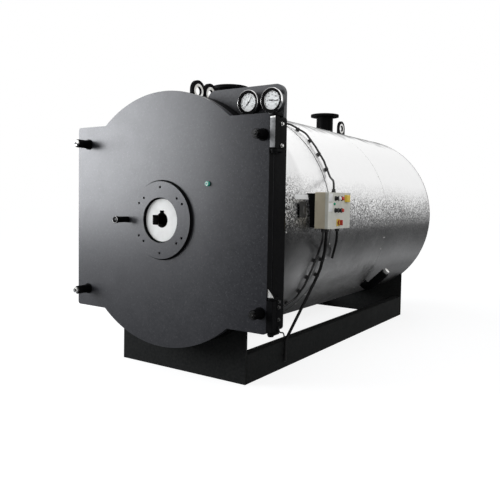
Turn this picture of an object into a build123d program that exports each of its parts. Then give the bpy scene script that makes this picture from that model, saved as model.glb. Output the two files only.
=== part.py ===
"""Fire-tube hot-water boiler with a hinged front door, clad round shell and channel base.

Sizes are in mm. Everything is drawn about the boiler axis: X to the right, Y from the door's
front face to the rear, Z up. At the end all solids are set on the floor, centred front to back.
"""
import os
from math import atan2, cos, degrees, hypot, radians, sin, sqrt

from build123d import *

# General
axis_height = 1090.0
nest_gap = 0.3
running_gap = 0.05
swing_gap = 6.0

# Front door: a round disc, cut straight at its sides, joined to a wide plate
disc_over_clad = 27.0
disc_side_cut = 19.0
shoulder_drop = 203.0
door_corner_r = 22.0
door_plate_t = 14.0
door_rim_t = 10.0
door_depth = 58.0
lining_reach = 70.0
lining_gap = 14.0
turning_inner_lip = 30.0
turning_outer_lip = 26.0
turning_depth = 46.0

# Burner opening in the middle of the door
burner_open_r = 155.0
burner_ring_r = 265.0
burner_ring_t = 22.0
burner_six_r = 226.0
burner_six = 6
burner_four_r = 212.0
burner_four = 4
burner_hole_r = 9.0
throat_step = 5.0
plug_recess = 30.0
plug_t = 24.0
plug_hole_r = 52.0
plug_slot_w = 34.0
plug_slot_h = 68.0
plug_nick_w = 38.0
plug_nick_h = 14.0

# Sight tube and test plug on the door
sight_x = -332.0
sight_z = -5.0
sight_r = 21.0
sight_len = 100.0
sight_nut_r = 25.0
sight_nut_len = 18.0
sight_bore_r = 13.0
test_x = 395.0
test_z = 248.0
test_r = 16.0
test_len = 14.0

# Door clamps near the four corners
clamp_left_inset = 114.0
clamp_right_inset = 44.0
clamp_z_inset = 129.0
clamp_r = 30.0
clamp_len = 80.0
clamp_flange_r = 38.0
clamp_flange_t = 8.0
clamp_nut_w = 41.0
clamp_nut_len = 18.0
clamp_stud_r = 12.0
clamp_stud_len = 8.0

# Front frame
frame_depth = 141.0
frame_land = 25.0

# Hinges on the right
knuckle_r = 22.0
knuckle_h = 192.0
knuckle_edge_r = 4.0
knuckle_space = 5.0
web_t = 16.0
hinge_y = 12.0
hinge_inset = 116.0
hinge_pin_r = 12.0
hinge_head_r = 18.0
hinge_head_t = 8.0
lug_plate_t = 14.0
lug_plate_reach = 60.0
lug_plate_taper = 48.0
leaf_t = 12.0
leaf_h = 168.0
leaf_y_start = 12.0
leaf_y_end = 24.0
strap_y_start = 2.0
strap_w = 24.0
gusset_t = 12.0
gusset_h = 52.0

# Pressure vessel
shell_r = 770.0
shell_t = 14.0
tube_plate_t = 22.0
vessel_len = 3050.0
furnace_tube_gap = 75.5
furnace_t = 16.0
furnace_end_t = 16.0
furnace_back_space = 312.0
smoke_tube_r = 44.5
smoke_tube_t = 4.0
smoke_tube_proud = 6.0
smoke_shell_gap = 61.5
smoke_row_gap = 41.0
smoke_row_count = 12

# Insulation and cladding
insulation_t = 76.0
clad_t = 2.0
clad_lap = 30.0
clad_seam_1 = 880.0
clad_seam_2 = 2005.0
clad_tail = 36.0
insulation_count = 12
insulation_slit = 1.0

# Rear smoke box
box_step = 48.0
box_t = 6.0
box_len = 250.0
cover_t = 10.0
cover_lip = 18.0
flue_r = 175.0
flue_t = 5.0
flue_len = 120.0

# Base
base_half_w = 571.0
beam_h = 200.0
beam_flange_w = 75.0
beam_web_t = 8.5
beam_flange_t = 11.5
saddle_t = 20.0
saddle_tip = 12.0

# Gauge panel and gauges
panel_w = 603.0
panel_inset = 3.0
panel_depth = 33.0
panel_corner_r = 62.0
gauge_inset = 63.0
gauge_pitch = 176.0
gauge_drop = 109.0
gauge_disc_gap = 32.0
gauge_case_r = 72.0
gauge_bezel_r = 77.0
gauge_bezel_t = 12.0
gauge_depth = 54.0
gauge_dial_r = 66.0
gauge_dial_t = 2.0
gauge_dial_depth = 14.0
gauge_glass_t = 3.0
gauge_glass_depth = 4.0

# Flanged water connections on top
nozzle_y_front = 775.0
nozzle_back_inset = 825.0
nozzle_rise = 182.0
neck_r = 84.0
neck_t = 6.0
flange_r = 142.5
flange_t = 22.0
flange_bolt_r = 120.0
flange_hole_r = 11.0
flange_count = 8
flange_face_r = 106.0
flange_face_t = 3.0

# Lifting lugs on the top line
lug_len = 156.0
lug_t = 20.0
lug_eye_r = 32.0
lug_eye_rise = 87.0
lug_y_front = 370.0
lug_y_second = 512.0
lug_back_inset = 435.0

# Control box on the right
cabinet_stand = 40.0
cabinet_depth = 76.0
lid_depth = 22.0
lid_seam = 1.0
cabinet_y = 545.0
cabinet_w = 355.0
cabinet_z = -39.0
cabinet_h = 248.0
cabinet_corner_r = 6.0
strut_t = 30.0
strut_inset = 22.0
strut_end = 8.0
seam_inset = 45.0
switch_r = 14.0
switch_len = 16.0
switch_pitch = 48.0
switch_first_y = 110.0
switch_row_1 = 40.0
switch_row_2 = 122.0
switch_count = 3
stop_pitch = 73.0
stop_w = 50.0
stop_len = 24.0
isolator_y = 158.0
isolator_z = 206.0
isolator_plate_w = 48.0
isolator_plate_t = 4.0
isolator_r = 18.0
isolator_disc_t = 8.0
isolator_grip_w = 11.0
isolator_grip_t = 18.0
isolator_shaft_r = 5.0
isolator_space = 5.0

# Small bare plate on its own bracket, between frame and control box
tag_y = 388.0
tag_w = 86.0
tag_z = 37.0
tag_h = 105.0
tag_t = 3.0
tag_stand = 8.0
tag_leg_t = 4.0
tag_leg_inset = 16.0

# Drain pipe under the shell
drain_y = 2130.0
drain_r = 38.0
drain_bend_r = 50.0
drain_stand = 25.0
drain_reach = 231.0
drain_lean = 44.0
drain_cap_r = 24.0
drain_cap_t = 30.0

# Cables and conduits, held on pads
pad_h = 8.0
pad_w = 26.0
pad_len = 18.0
cable_lift = 5.2
signal_gland = 206.0
burner_gland = 56.0
trunk_gland = 104.0
conduit_gland = 276.0
signal_r = 7.5
trunk_r = 11.0
conduit_r = 9.0
earth_r = 5.0

# Places that follow from the sizes above
clad_r = shell_r + insulation_t + clad_t
clad_out = clad_r + clad_t + nest_gap
door_disc_r = clad_r + disc_over_clad
door_half_w = door_disc_r - disc_side_cut
door_half_h = door_disc_r - shoulder_drop
frame_bore_r = shell_r - frame_land
smoke_row_outer_r = shell_r - shell_t - smoke_tube_r - smoke_shell_gap
smoke_row_inner_r = smoke_row_outer_r - 2 * smoke_tube_r - smoke_row_gap
furnace_r = smoke_row_inner_r - smoke_tube_r - furnace_tube_gap
turning_r_in = furnace_r + turning_inner_lip
furnace_len = vessel_len - tube_plate_t - furnace_end_t - furnace_back_space
clamp_left_x = door_half_w - clamp_left_inset
clamp_right_x = door_half_w - clamp_right_inset
clamp_z = door_half_h - clamp_z_inset
hinge_z = door_half_h - hinge_inset
box_r = shell_r - box_step
panel_x_right = door_half_w - panel_inset
panel_x_left = panel_x_right - panel_w
gauge_x_2 = panel_x_right - gauge_inset
gauge_x_1 = gauge_x_2 - gauge_pitch
gauge_z = sqrt((door_disc_r + gauge_disc_gap + gauge_bezel_r) ** 2 - gauge_x_1**2)
panel_top = gauge_z + gauge_drop
nozzle_top = clad_r + nozzle_rise
lug_eye_z = clad_r + lug_eye_rise
cabinet_x = clad_r + cabinet_stand
tag_x = clad_r + tag_stand
y_frame_front = door_depth + swing_gap
y_frame_back = y_frame_front + frame_depth
y_vessel_back = y_frame_back + vessel_len
nozzle_y_rear = y_vessel_back - nozzle_back_inset
lug_y_rear = y_vessel_back - lug_back_inset
y_clad_front = y_frame_back + saddle_t + nest_gap
y_clad_back = y_vessel_back + clad_tail
y_box_back = y_vessel_back + box_len
y_end = y_box_back + cover_t + flue_len
clamp_tip = -(clamp_len + clamp_nut_len + clamp_stud_len)
y_tip = min(clamp_tip, -(sight_len + sight_nut_len))
z_floor = -axis_height
lining_back = door_depth + lining_reach
lining_r = frame_bore_r - lining_gap
turning_r_out = lining_r - turning_outer_lip
throat_r = burner_open_r - throat_step
hinge_x = door_half_w + swing_gap + knuckle_r
hinge_half = knuckle_h / 2 + knuckle_space + lug_plate_t
lid_x = cabinet_x + cabinet_depth + lid_seam
lid_face_x = lid_x + lid_depth
cabinet_top = cabinet_z + cabinet_h
rear_saddle_y = y_vessel_back - saddle_t
x_right = lid_face_x + isolator_plate_t + isolator_space + isolator_disc_t + isolator_grip_t
place = Location(((door_half_w - x_right) / 2, -(y_end + y_tip) / 2, axis_height))


def outline(inset):
    """Outline of door and frame in the XZ plane, drawn in by inset."""
    corner = door_corner_r - inset if inset < door_corner_r - 1 else 1
    width = 2 * (door_half_w - inset)
    disc_r = door_disc_r - inset
    plate = RectangleRounded(width, 2 * (door_half_h - inset), corner)
    return plate + (Circle(disc_r) & Rectangle(width, 2 * disc_r))


def slab(face, y_from, y_to):
    """Push a face drawn in X and Z along Y."""
    return extrude(Plane.XZ.offset(-y_to) * face, amount=y_to - y_from)


def ring(r_out, r_in, y_from, y_to):
    """Round tube about the boiler axis."""
    return slab(Circle(r_out) - Circle(r_in), y_from, y_to)


def rod(radius, x, z, y_from, y_to):
    """Round bar along Y."""
    return slab(Pos(x, z) * Circle(radius), y_from, y_to)


def block(x_from, x_to, y_from, y_to, z_from, z_to):
    """Box between two corners."""
    size = Box(x_to - x_from, y_to - y_from, z_to - z_from)
    return Pos((x_from + x_to) / 2, (y_from + y_to) / 2, (z_from + z_to) / 2) * size


def upright(radius, x, y, z_from, z_to):
    """Round bar along Z."""
    return extrude(Plane.XY.offset(z_from) * Pos(x, y) * Circle(radius), amount=z_to - z_from)


def side_face(face, x_from, x_to):
    """Push a face drawn in Y and Z along X."""
    return extrude(Plane.YZ.offset(x_from) * face, amount=x_to - x_from)


def group(*solids):
    """One node made of several solids that do not touch."""
    return Compound(children=list(solids))


def on_shell(radius, angle, y):
    """Point at an angle up from the right side of the shell."""
    return (radius * cos(radians(angle)), y, radius * sin(radians(angle)))


def skin_r(y, width):
    """Outer radius of the cladding under a piece of that width; the middle course laps over the others."""
    on_middle = y + width / 2 > clad_seam_1 and y - width / 2 < clad_seam_2
    return clad_out if on_middle else clad_r


# Door
def make_door_plate():
    face = slab(outline(0) - Circle(burner_open_r), 0, door_plate_t)
    return face + slab(outline(0) - outline(door_rim_t), door_plate_t, door_depth)


def make_door_lining():
    fill = slab(outline(door_rim_t), door_plate_t, door_depth)
    fill += slab(Circle(lining_r), door_depth, lining_back)
    fill -= ring(turning_r_out, turning_r_in, lining_back - turning_depth, lining_back)
    return fill - slab(Circle(throat_r), door_plate_t, lining_back)


def make_burner_ring():
    face = Circle(burner_ring_r) - Circle(burner_open_r)
    face -= PolarLocations(burner_six_r, burner_six, start_angle=90) * Circle(burner_hole_r)
    face -= PolarLocations(burner_four_r, burner_four, start_angle=45) * Circle(burner_hole_r)
    return slab(face, -burner_ring_t, 0)


def make_burner_plug():
    disc = Circle(throat_r - nest_gap) - Circle(plug_hole_r)
    disc -= Pos(-plug_hole_r, 0) * Rectangle(2 * plug_slot_w, plug_slot_h)
    disc -= Pos(0, plug_hole_r) * Rectangle(plug_nick_w, 2 * plug_nick_h)
    return slab(disc, plug_recess, plug_recess + plug_t)


def make_sight_tube():
    tube = rod(sight_r, sight_x, sight_z, -sight_len, 0)
    tube += rod(sight_nut_r, sight_x, sight_z, -sight_len - sight_nut_len, -sight_len)
    return tube - rod(sight_bore_r, sight_x, sight_z, -sight_len - sight_nut_len, -sight_len)


def clamp_places():
    spots = []
    for x in (-clamp_left_x, clamp_right_x):
        for z in (-clamp_z, clamp_z):
            spots.append((x, z))
    return spots


def make_clamp_sleeve(x, z):
    sleeve = rod(clamp_r, x, z, -clamp_len, 0)
    return sleeve + rod(clamp_flange_r, x, z, -clamp_flange_t, 0)


def make_clamp_nut(x, z):
    hexagon = Pos(x, z) * RegularPolygon(clamp_nut_w / 2, 6, major_radius=False)
    nut = slab(hexagon, -clamp_len - clamp_nut_len, -clamp_len)
    return nut + rod(clamp_stud_r, x, z, clamp_tip, -clamp_len - clamp_nut_len)


# Hinges
def make_door_hinge(z):
    """Square knuckle on the door's right edge that turns about the pin."""
    z_low, z_high = z - knuckle_h / 2, z + knuckle_h / 2
    face = Pos(hinge_x, hinge_y) * RectangleRounded(2 * knuckle_r, 2 * knuckle_r, knuckle_edge_r)
    knuckle = extrude(Plane.XY.offset(z_low) * face, amount=knuckle_h)
    knuckle += block(door_half_w, hinge_x, hinge_y - web_t / 2, hinge_y + web_t / 2, z_low, z_high)
    return knuckle - upright(hinge_pin_r + running_gap, hinge_x, hinge_y, z_low, z_high)


def make_lug_plate(z_low):
    """Flat plate from the frame's side to the pin, rounded about the pin and tapered to the rear."""
    x_in, x_out = hinge_x - knuckle_r, hinge_x + knuckle_r
    y_taper = y_frame_front + lug_plate_reach - lug_plate_taper
    y_back = y_frame_front + lug_plate_reach
    y_side = y_frame_front + strap_y_start
    corners = [(x_in, hinge_y), (x_out, hinge_y), (x_out, y_taper), (door_half_w + leaf_t, y_back),
               (door_half_w, y_back), (door_half_w, y_side), (x_in, y_side)]
    face = make_face(Polyline(*corners, close=True)) + Pos(hinge_x, hinge_y) * Circle(knuckle_r)
    return extrude(Plane.XY.offset(z_low) * face, amount=lug_plate_t)


def make_frame_hinge(z, with_gusset):
    """Leaf and strap on the frame's side with a lug plate above and below the door's knuckle."""
    leaf_from, leaf_to = y_frame_front + leaf_y_start, y_frame_back - leaf_y_end
    strap_from = y_frame_front + strap_y_start
    x_out = door_half_w + leaf_t
    z_top = z + hinge_half
    hinge = block(door_half_w, x_out, leaf_from, leaf_to, z - leaf_h / 2, z + leaf_h / 2)
    hinge += block(door_half_w, x_out, strap_from, strap_from + strap_w, z - hinge_half, z_top)
    for z_low in (z - hinge_half, z_top - lug_plate_t):
        hinge += make_lug_plate(z_low)
    hinge -= upright(hinge_pin_r, hinge_x, hinge_y, z - hinge_half, z_top)
    if with_gusset:
        x_from, x_to = hinge_x - knuckle_r, hinge_x + knuckle_r
        rib = make_face(Polyline((x_from, z_top), (x_to, z_top), (x_from, z_top + gusset_h), close=True))
        hinge += slab(rib, hinge_y - gusset_t / 2, hinge_y + gusset_t / 2)
    return hinge


def make_hinge_pin(z):
    """Pin through knuckle and lug plates, with its head below."""
    z_low = z - hinge_half - nest_gap
    pin = upright(hinge_pin_r, hinge_x, hinge_y, z_low, z + hinge_half - nest_gap)
    return pin + upright(hinge_head_r, hinge_x, hinge_y, z_low - hinge_head_t, z_low)


# Frame and vessel
def make_front_frame():
    return slab(outline(0) - Circle(frame_bore_r), y_frame_front, y_frame_back)


def smoke_spots():
    inner = PolarLocations(smoke_row_inner_r, smoke_row_count)
    outer = PolarLocations(smoke_row_outer_r, smoke_row_count, start_angle=180 / smoke_row_count)
    return [inner, outer]


def make_tube_plate(y_from, furnace_hole):
    face = Circle(shell_r)
    for spots in smoke_spots():
        face -= spots * Circle(smoke_tube_r + nest_gap)
    if furnace_hole:
        face -= Circle(furnace_r)
    return slab(face, y_from, y_from + tube_plate_t)


def make_smoke_tubes():
    wall = Circle(smoke_tube_r) - Circle(smoke_tube_r - smoke_tube_t)
    tubes = []
    for spots in smoke_spots():
        for spot in spots:
            tubes.append(slab(spot * wall, y_frame_back - smoke_tube_proud, y_vessel_back))
    return group(*tubes)


def top_openings(extra):
    """Cuts for the necks and lugs that rise through the top of the shell."""
    cuts = []
    for y in (nozzle_y_front, nozzle_y_rear):
        cuts.append(upright(neck_r + extra, 0, y, 0, nozzle_top))
    return cuts


def lug_slots(extra):
    slots = []
    for y in (lug_y_front, lug_y_second, lug_y_rear):
        half_len = lug_len / 2 + extra
        half_t = lug_t / 2 + extra
        slots.append(block(-half_t, half_t, y - half_len, y + half_len, 0, lug_eye_z))
    return slots


def make_pressure_shell():
    shell = ring(shell_r, shell_r - shell_t, y_frame_back + tube_plate_t, y_vessel_back - tube_plate_t)
    return shell - top_openings(nest_gap)


def make_insulation():
    span = 360 / insulation_count
    r_in = shell_r + nest_gap
    r_out = clad_r - clad_t - nest_gap
    face = Circle(r_out) - Circle(r_in)
    pieces = []
    for index in range(insulation_count):
        turn = span * index
        sector = face
        for edge in (turn, turn + span):
            strip = Pos(r_out / 2, 0) * Rectangle(r_out, insulation_slit)
            sector -= Rot(0, 0, edge) * strip
        sector = sector.faces().sort_by_distance(on_plane(r_in, turn + span / 2))[0]
        piece = slab(sector, y_clad_front, rear_saddle_y - nest_gap)
        for cut in top_openings(nest_gap) + lug_slots(nest_gap) + [drain_cut()]:
            piece -= cut
        pieces.append(piece)
    return group(*pieces)


def on_plane(radius, angle):
    return (radius * cos(radians(angle)), radius * sin(radians(angle)), 0)


def make_cladding(y_from, y_to, lift):
    course = ring(clad_r + lift, clad_r + lift - clad_t, y_from, y_to)
    course -= top_openings(nest_gap) + lug_slots(nest_gap) + [drain_cut()]
    half = base_half_w + nest_gap
    notch = block(-half, half, rear_saddle_y - nest_gap, y_vessel_back + nest_gap, z_floor, 0)
    return course - notch


def make_rear_insulation():
    return ring(clad_r - clad_t - nest_gap, box_r + nest_gap, y_vessel_back + nest_gap, y_clad_back)


def make_smoke_box():
    return ring(box_r, box_r - box_t, y_vessel_back, y_box_back)


def make_smoke_cover():
    return slab(Circle(box_r + cover_lip) - Circle(flue_r - flue_t), y_box_back, y_box_back + cover_t)


def make_flue():
    return ring(flue_r, flue_r - flue_t, y_box_back + cover_t, y_end)


# Base
def make_saddle(y_from):
    top = -sqrt(shell_r**2 - base_half_w**2) - saddle_tip
    height = top - z_floor
    face = Pos(0, z_floor + height / 2) * Rectangle(2 * base_half_w, height)
    return slab(face - Circle(shell_r), y_from, y_from + saddle_t)


def make_beam(side):
    z_mid = z_floor + beam_h / 2
    x_mid = side * (base_half_w - beam_flange_w / 2)
    face = Pos(x_mid, z_mid) * Rectangle(beam_flange_w, beam_h)
    hollow = Rectangle(beam_flange_w, beam_h - 2 * beam_flange_t)
    face -= Pos(x_mid - side * beam_web_t, z_mid) * hollow
    return slab(face, y_frame_back + saddle_t, rear_saddle_y)


# Gauge panel
def make_gauge_panel():
    width = panel_x_right - panel_x_left
    height = panel_top - door_half_h + panel_corner_r
    centre = Pos((panel_x_left + panel_x_right) / 2, panel_top - height / 2)
    face = centre * RectangleRounded(width, height, panel_corner_r)
    face -= outline(-nest_gap)
    y_front = y_frame_back - panel_depth
    return slab(face, y_front, y_frame_back)


def make_gauge(x):
    y_back = y_frame_back - panel_depth
    y_front = y_back - gauge_depth
    case = rod(gauge_case_r, x, gauge_z, y_front + gauge_bezel_t, y_back)
    case += rod(gauge_bezel_r, x, gauge_z, y_front, y_front + gauge_bezel_t)
    case -= rod(gauge_dial_r, x, gauge_z, y_front, y_front + gauge_dial_depth)
    return case


def make_gauge_disc(x, depth, thickness):
    y_front = y_frame_back - panel_depth - gauge_depth
    y_face = y_front + depth
    return rod(gauge_dial_r - nest_gap, x, gauge_z, y_face, y_face + thickness)


# Top fittings
def make_nozzle(y):
    root = sqrt((shell_r - shell_t) ** 2 - neck_r**2)
    body = upright(neck_r, 0, y, root, nozzle_top - flange_t)
    body += upright(flange_r, 0, y, nozzle_top - flange_t, nozzle_top)
    body += upright(flange_face_r, 0, y, nozzle_top, nozzle_top + flange_face_t)
    body -= upright(neck_r - neck_t, 0, y, 0, nozzle_top + flange_face_t)
    for index in range(flange_count):
        turn = radians(360 / flange_count * (index + 0.5))
        x_hole = flange_bolt_r * cos(turn)
        y_hole = y + flange_bolt_r * sin(turn)
        body -= upright(flange_hole_r, x_hole, y_hole, nozzle_top - flange_t, nozzle_top)
    return body


def make_lug(y):
    half = lug_len / 2
    arch = Pos(y, lug_eye_z) * Circle(half)
    arch += Pos(y, (lug_eye_z + shell_r) / 2) * Rectangle(lug_len, lug_eye_z - shell_r)
    arch -= Pos(y, lug_eye_z) * Circle(lug_eye_r)
    return side_face(arch, -lug_t / 2, lug_t / 2)


# Control box
def make_cabinet():
    y_to = cabinet_y + cabinet_w
    box = block(cabinet_x, cabinet_x + cabinet_depth, cabinet_y, y_to, cabinet_z, cabinet_top)
    return fillet(box.edges().filter_by(Axis.X), cabinet_corner_r)


def make_lid():
    y_to = cabinet_y + cabinet_w
    lid = block(lid_x, lid_face_x, cabinet_y, y_to, cabinet_z, cabinet_top)
    lid = fillet(lid.edges().filter_by(Axis.X), cabinet_corner_r)
    seam = block(cabinet_x + cabinet_depth, lid_x, cabinet_y + seam_inset, y_to - seam_inset,
                 cabinet_z + seam_inset, cabinet_top - seam_inset)
    bore = Pos(cabinet_y + isolator_y, cabinet_top - isolator_z) * Circle(isolator_shaft_r + running_gap)
    return lid + seam - side_face(bore, lid_face_x - lid_depth / 2, lid_face_x)


def make_struts():
    """Upright rails between the cladding and the box."""
    z_from, z_to = cabinet_z + strut_end, cabinet_top - strut_end
    rails = []
    for y in (cabinet_y + strut_inset, cabinet_y + cabinet_w - strut_inset):
        rail = block(0, cabinet_x, y - strut_t / 2, y + strut_t / 2, z_from, z_to)
        rails.append(rail - slab(Circle(skin_r(y, strut_t) + nest_gap), 0, y_clad_back))
    return group(*rails)


def make_switches():
    """Two rows of round operators and a square stop button at the end of the upper row."""
    knobs = []
    for row in (switch_row_1, switch_row_2):
        for index in range(switch_count):
            y = cabinet_y + switch_first_y + index * switch_pitch
            face = Pos(y, cabinet_top - row) * Circle(switch_r)
            knobs.append(side_face(face, lid_face_x, lid_face_x + switch_len))
    y_stop = cabinet_y + switch_first_y + (switch_count - 1) * switch_pitch + stop_pitch
    button = Pos(y_stop, cabinet_top - switch_row_1) * Rectangle(stop_w, stop_w)
    return group(*knobs, side_face(button, lid_face_x, lid_face_x + stop_len))


def make_isolator_plate():
    centre = Pos(cabinet_y + isolator_y, cabinet_top - isolator_z)
    face = centre * (Rectangle(isolator_plate_w, isolator_plate_w) - Circle(isolator_shaft_r + running_gap))
    return side_face(face, lid_face_x, lid_face_x + isolator_plate_t)


def make_isolator_handle():
    centre = Pos(cabinet_y + isolator_y, cabinet_top - isolator_z)
    x_disc = lid_face_x + isolator_plate_t + isolator_space
    handle = side_face(centre * Circle(isolator_r), x_disc, x_disc + isolator_disc_t)
    grip = centre * Rectangle(isolator_grip_w, 2 * isolator_r)
    handle += side_face(grip, x_disc + isolator_disc_t, x_disc + isolator_disc_t + isolator_grip_t)
    shaft = centre * Circle(isolator_shaft_r)
    return handle + side_face(shaft, lid_face_x - lid_depth / 2 + nest_gap, x_disc)


def make_tag():
    plate = block(tag_x, tag_x + tag_t, tag_y, tag_y + tag_w, tag_z, tag_z + tag_h)
    for z in (tag_z + tag_leg_inset, tag_z + tag_h - tag_leg_inset):
        leg = block(0, tag_x, tag_y, tag_y + tag_w, z - tag_leg_t / 2, z + tag_leg_t / 2)
        plate += leg - slab(Circle(clad_r + nest_gap), 0, y_clad_back)
    return plate


# Pipes and cables
def pipe(points, radii, radius):
    """Round bar along straight runs and tangent bends."""
    path = FilletPolyline(*points, radius=radii)
    start = Plane(origin=path @ 0, z_dir=path % 0)
    return sweep(start * Circle(radius), path=path)


def drain_out():
    """Direction in which the drain pipe leaves the shell, square to its later run."""
    lean = radians(drain_lean)
    return Vector(sin(lean), 0, -cos(lean))


def drain_route():
    """Shell, elbow and tip of the drain pipe: out of the shell, then up along it."""
    lean = radians(drain_lean)
    foot = Vector(0, drain_y, 0)
    elbow = foot + drain_out() * (clad_out + drain_r + drain_stand)
    tip = elbow + Vector(cos(lean), 0, sin(lean)) * drain_reach
    return [foot + drain_out() * (shell_r - shell_t), elbow, tip]


def make_drain():
    body = pipe(drain_route(), drain_bend_r, drain_r)
    return body - slab(Circle(shell_r + nest_gap), 0, y_vessel_back)


def make_drain_cap():
    lean = radians(drain_lean)
    tip = Plane(origin=drain_route()[2], z_dir=(cos(lean), 0, sin(lean)))
    return extrude(tip * Circle(drain_cap_r), amount=drain_cap_t)


def drain_cut():
    axis = Plane(origin=(0, drain_y, 0), z_dir=drain_out())
    return extrude(axis * Circle(drain_r + nest_gap), amount=clad_out + drain_stand)


cable_line = clad_out + pad_h


def signal_route():
    line = cable_line + signal_r
    box_x, box_y = cabinet_x + cabinet_depth / 2, cabinet_y + signal_gland
    points = [on_shell(line, 58, y_frame_back), on_shell(line, 58, box_y + 189)]
    for angle, drift in ((50, 249), (40, 204), (31, 194), (22, 179)):
        points.append(on_shell(line + cable_lift, angle, box_y + drift))
    return points + [(box_x, box_y, cabinet_top + 80), (box_x, box_y, cabinet_top)]


def burner_route():
    line = cable_line + signal_r
    box_x, box_y = cabinet_x + cabinet_depth / 2, cabinet_y + burner_gland
    points = [(box_x, box_y, cabinet_z), (box_x, box_y, cabinet_z - 70)]
    for angle, drift in ((-14, 100), (-23, 80), (-32, 94), (-40, 98)):
        points.append(on_shell(line + cable_lift, angle, box_y + drift))
    return points + [on_shell(line, -47, box_y), on_shell(line, -47, y_frame_back)]


def trunk_route():
    line = cable_line + trunk_r
    box_x, box_y = cabinet_x + cabinet_depth / 2, cabinet_y + trunk_gland
    points = [(box_x, box_y, cabinet_z), (box_x, box_y, cabinet_z - 60)]
    for angle, drift in ((-14, 139), (-23, 163), (-31, 179)):
        points.append(on_shell(line + cable_lift, angle, box_y + drift))
    face = base_half_w + pad_h + trunk_r
    return points + [(face, box_y + 51, z_floor + beam_h + 10), (face, box_y + 49, z_floor + 60)]


def conduit_route():
    line = cable_line + conduit_r
    box_x, box_y = cabinet_x + cabinet_depth / 2, cabinet_y + conduit_gland
    points = [(box_x, box_y, cabinet_z), (box_x, box_y, cabinet_z - 80)]
    return points + [on_shell(line, -14, box_y + 141), on_shell(line, -18.5, box_y + 145)]


def earth_route():
    x_leaf = door_half_w + leaf_t / 2
    y_leaf = y_frame_front + 76
    z_leaf = -hinge_z - leaf_h / 2
    x_beam = base_half_w - 15
    z_beam = z_floor + beam_h
    return [(x_leaf, y_leaf, z_leaf), (x_leaf, y_leaf, z_leaf - 45), (x_beam, 740, z_beam + 60),
            (x_beam, 740, z_beam)]


def pads_under(points, radius, first, last):
    """Pads between the shell and the straight runs of a cable."""
    pads = []
    for index in range(first, last):
        a, b = points[index], points[index + 1]
        mid = tuple((p + q) / 2 for p, q in zip(a, b))
        reach = hypot(mid[0], mid[2])
        angle = degrees(atan2(mid[2], mid[0]))
        top = reach - radius - 2 * nest_gap
        foot = skin_r(mid[1], pad_len)
        pad = Pos((foot + top) / 2, 0, 0) * Box(top - foot, pad_len, pad_w)
        pads.append(Pos(0, mid[1], 0) * Rot(0, -angle, 0) * pad)
    return pads


bend = 60.0
signal_points = signal_route()
burner_points = burner_route()
trunk_points = trunk_route()


def make_pads():
    pads = pads_under(signal_points, signal_r, 0, 5)
    pads += pads_under(burner_points, signal_r, 2, 7)
    pads += pads_under(trunk_points, trunk_r, 2, 4)
    y_beam = trunk_points[-1][1]
    z_beam = z_floor + beam_h / 2
    beam_pad = Box(pad_h - nest_gap, pad_len, pad_w)
    pads.append(Pos(base_half_w + (pad_h - nest_gap) / 2, y_beam, z_beam) * beam_pad)
    return group(*pads)


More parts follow.
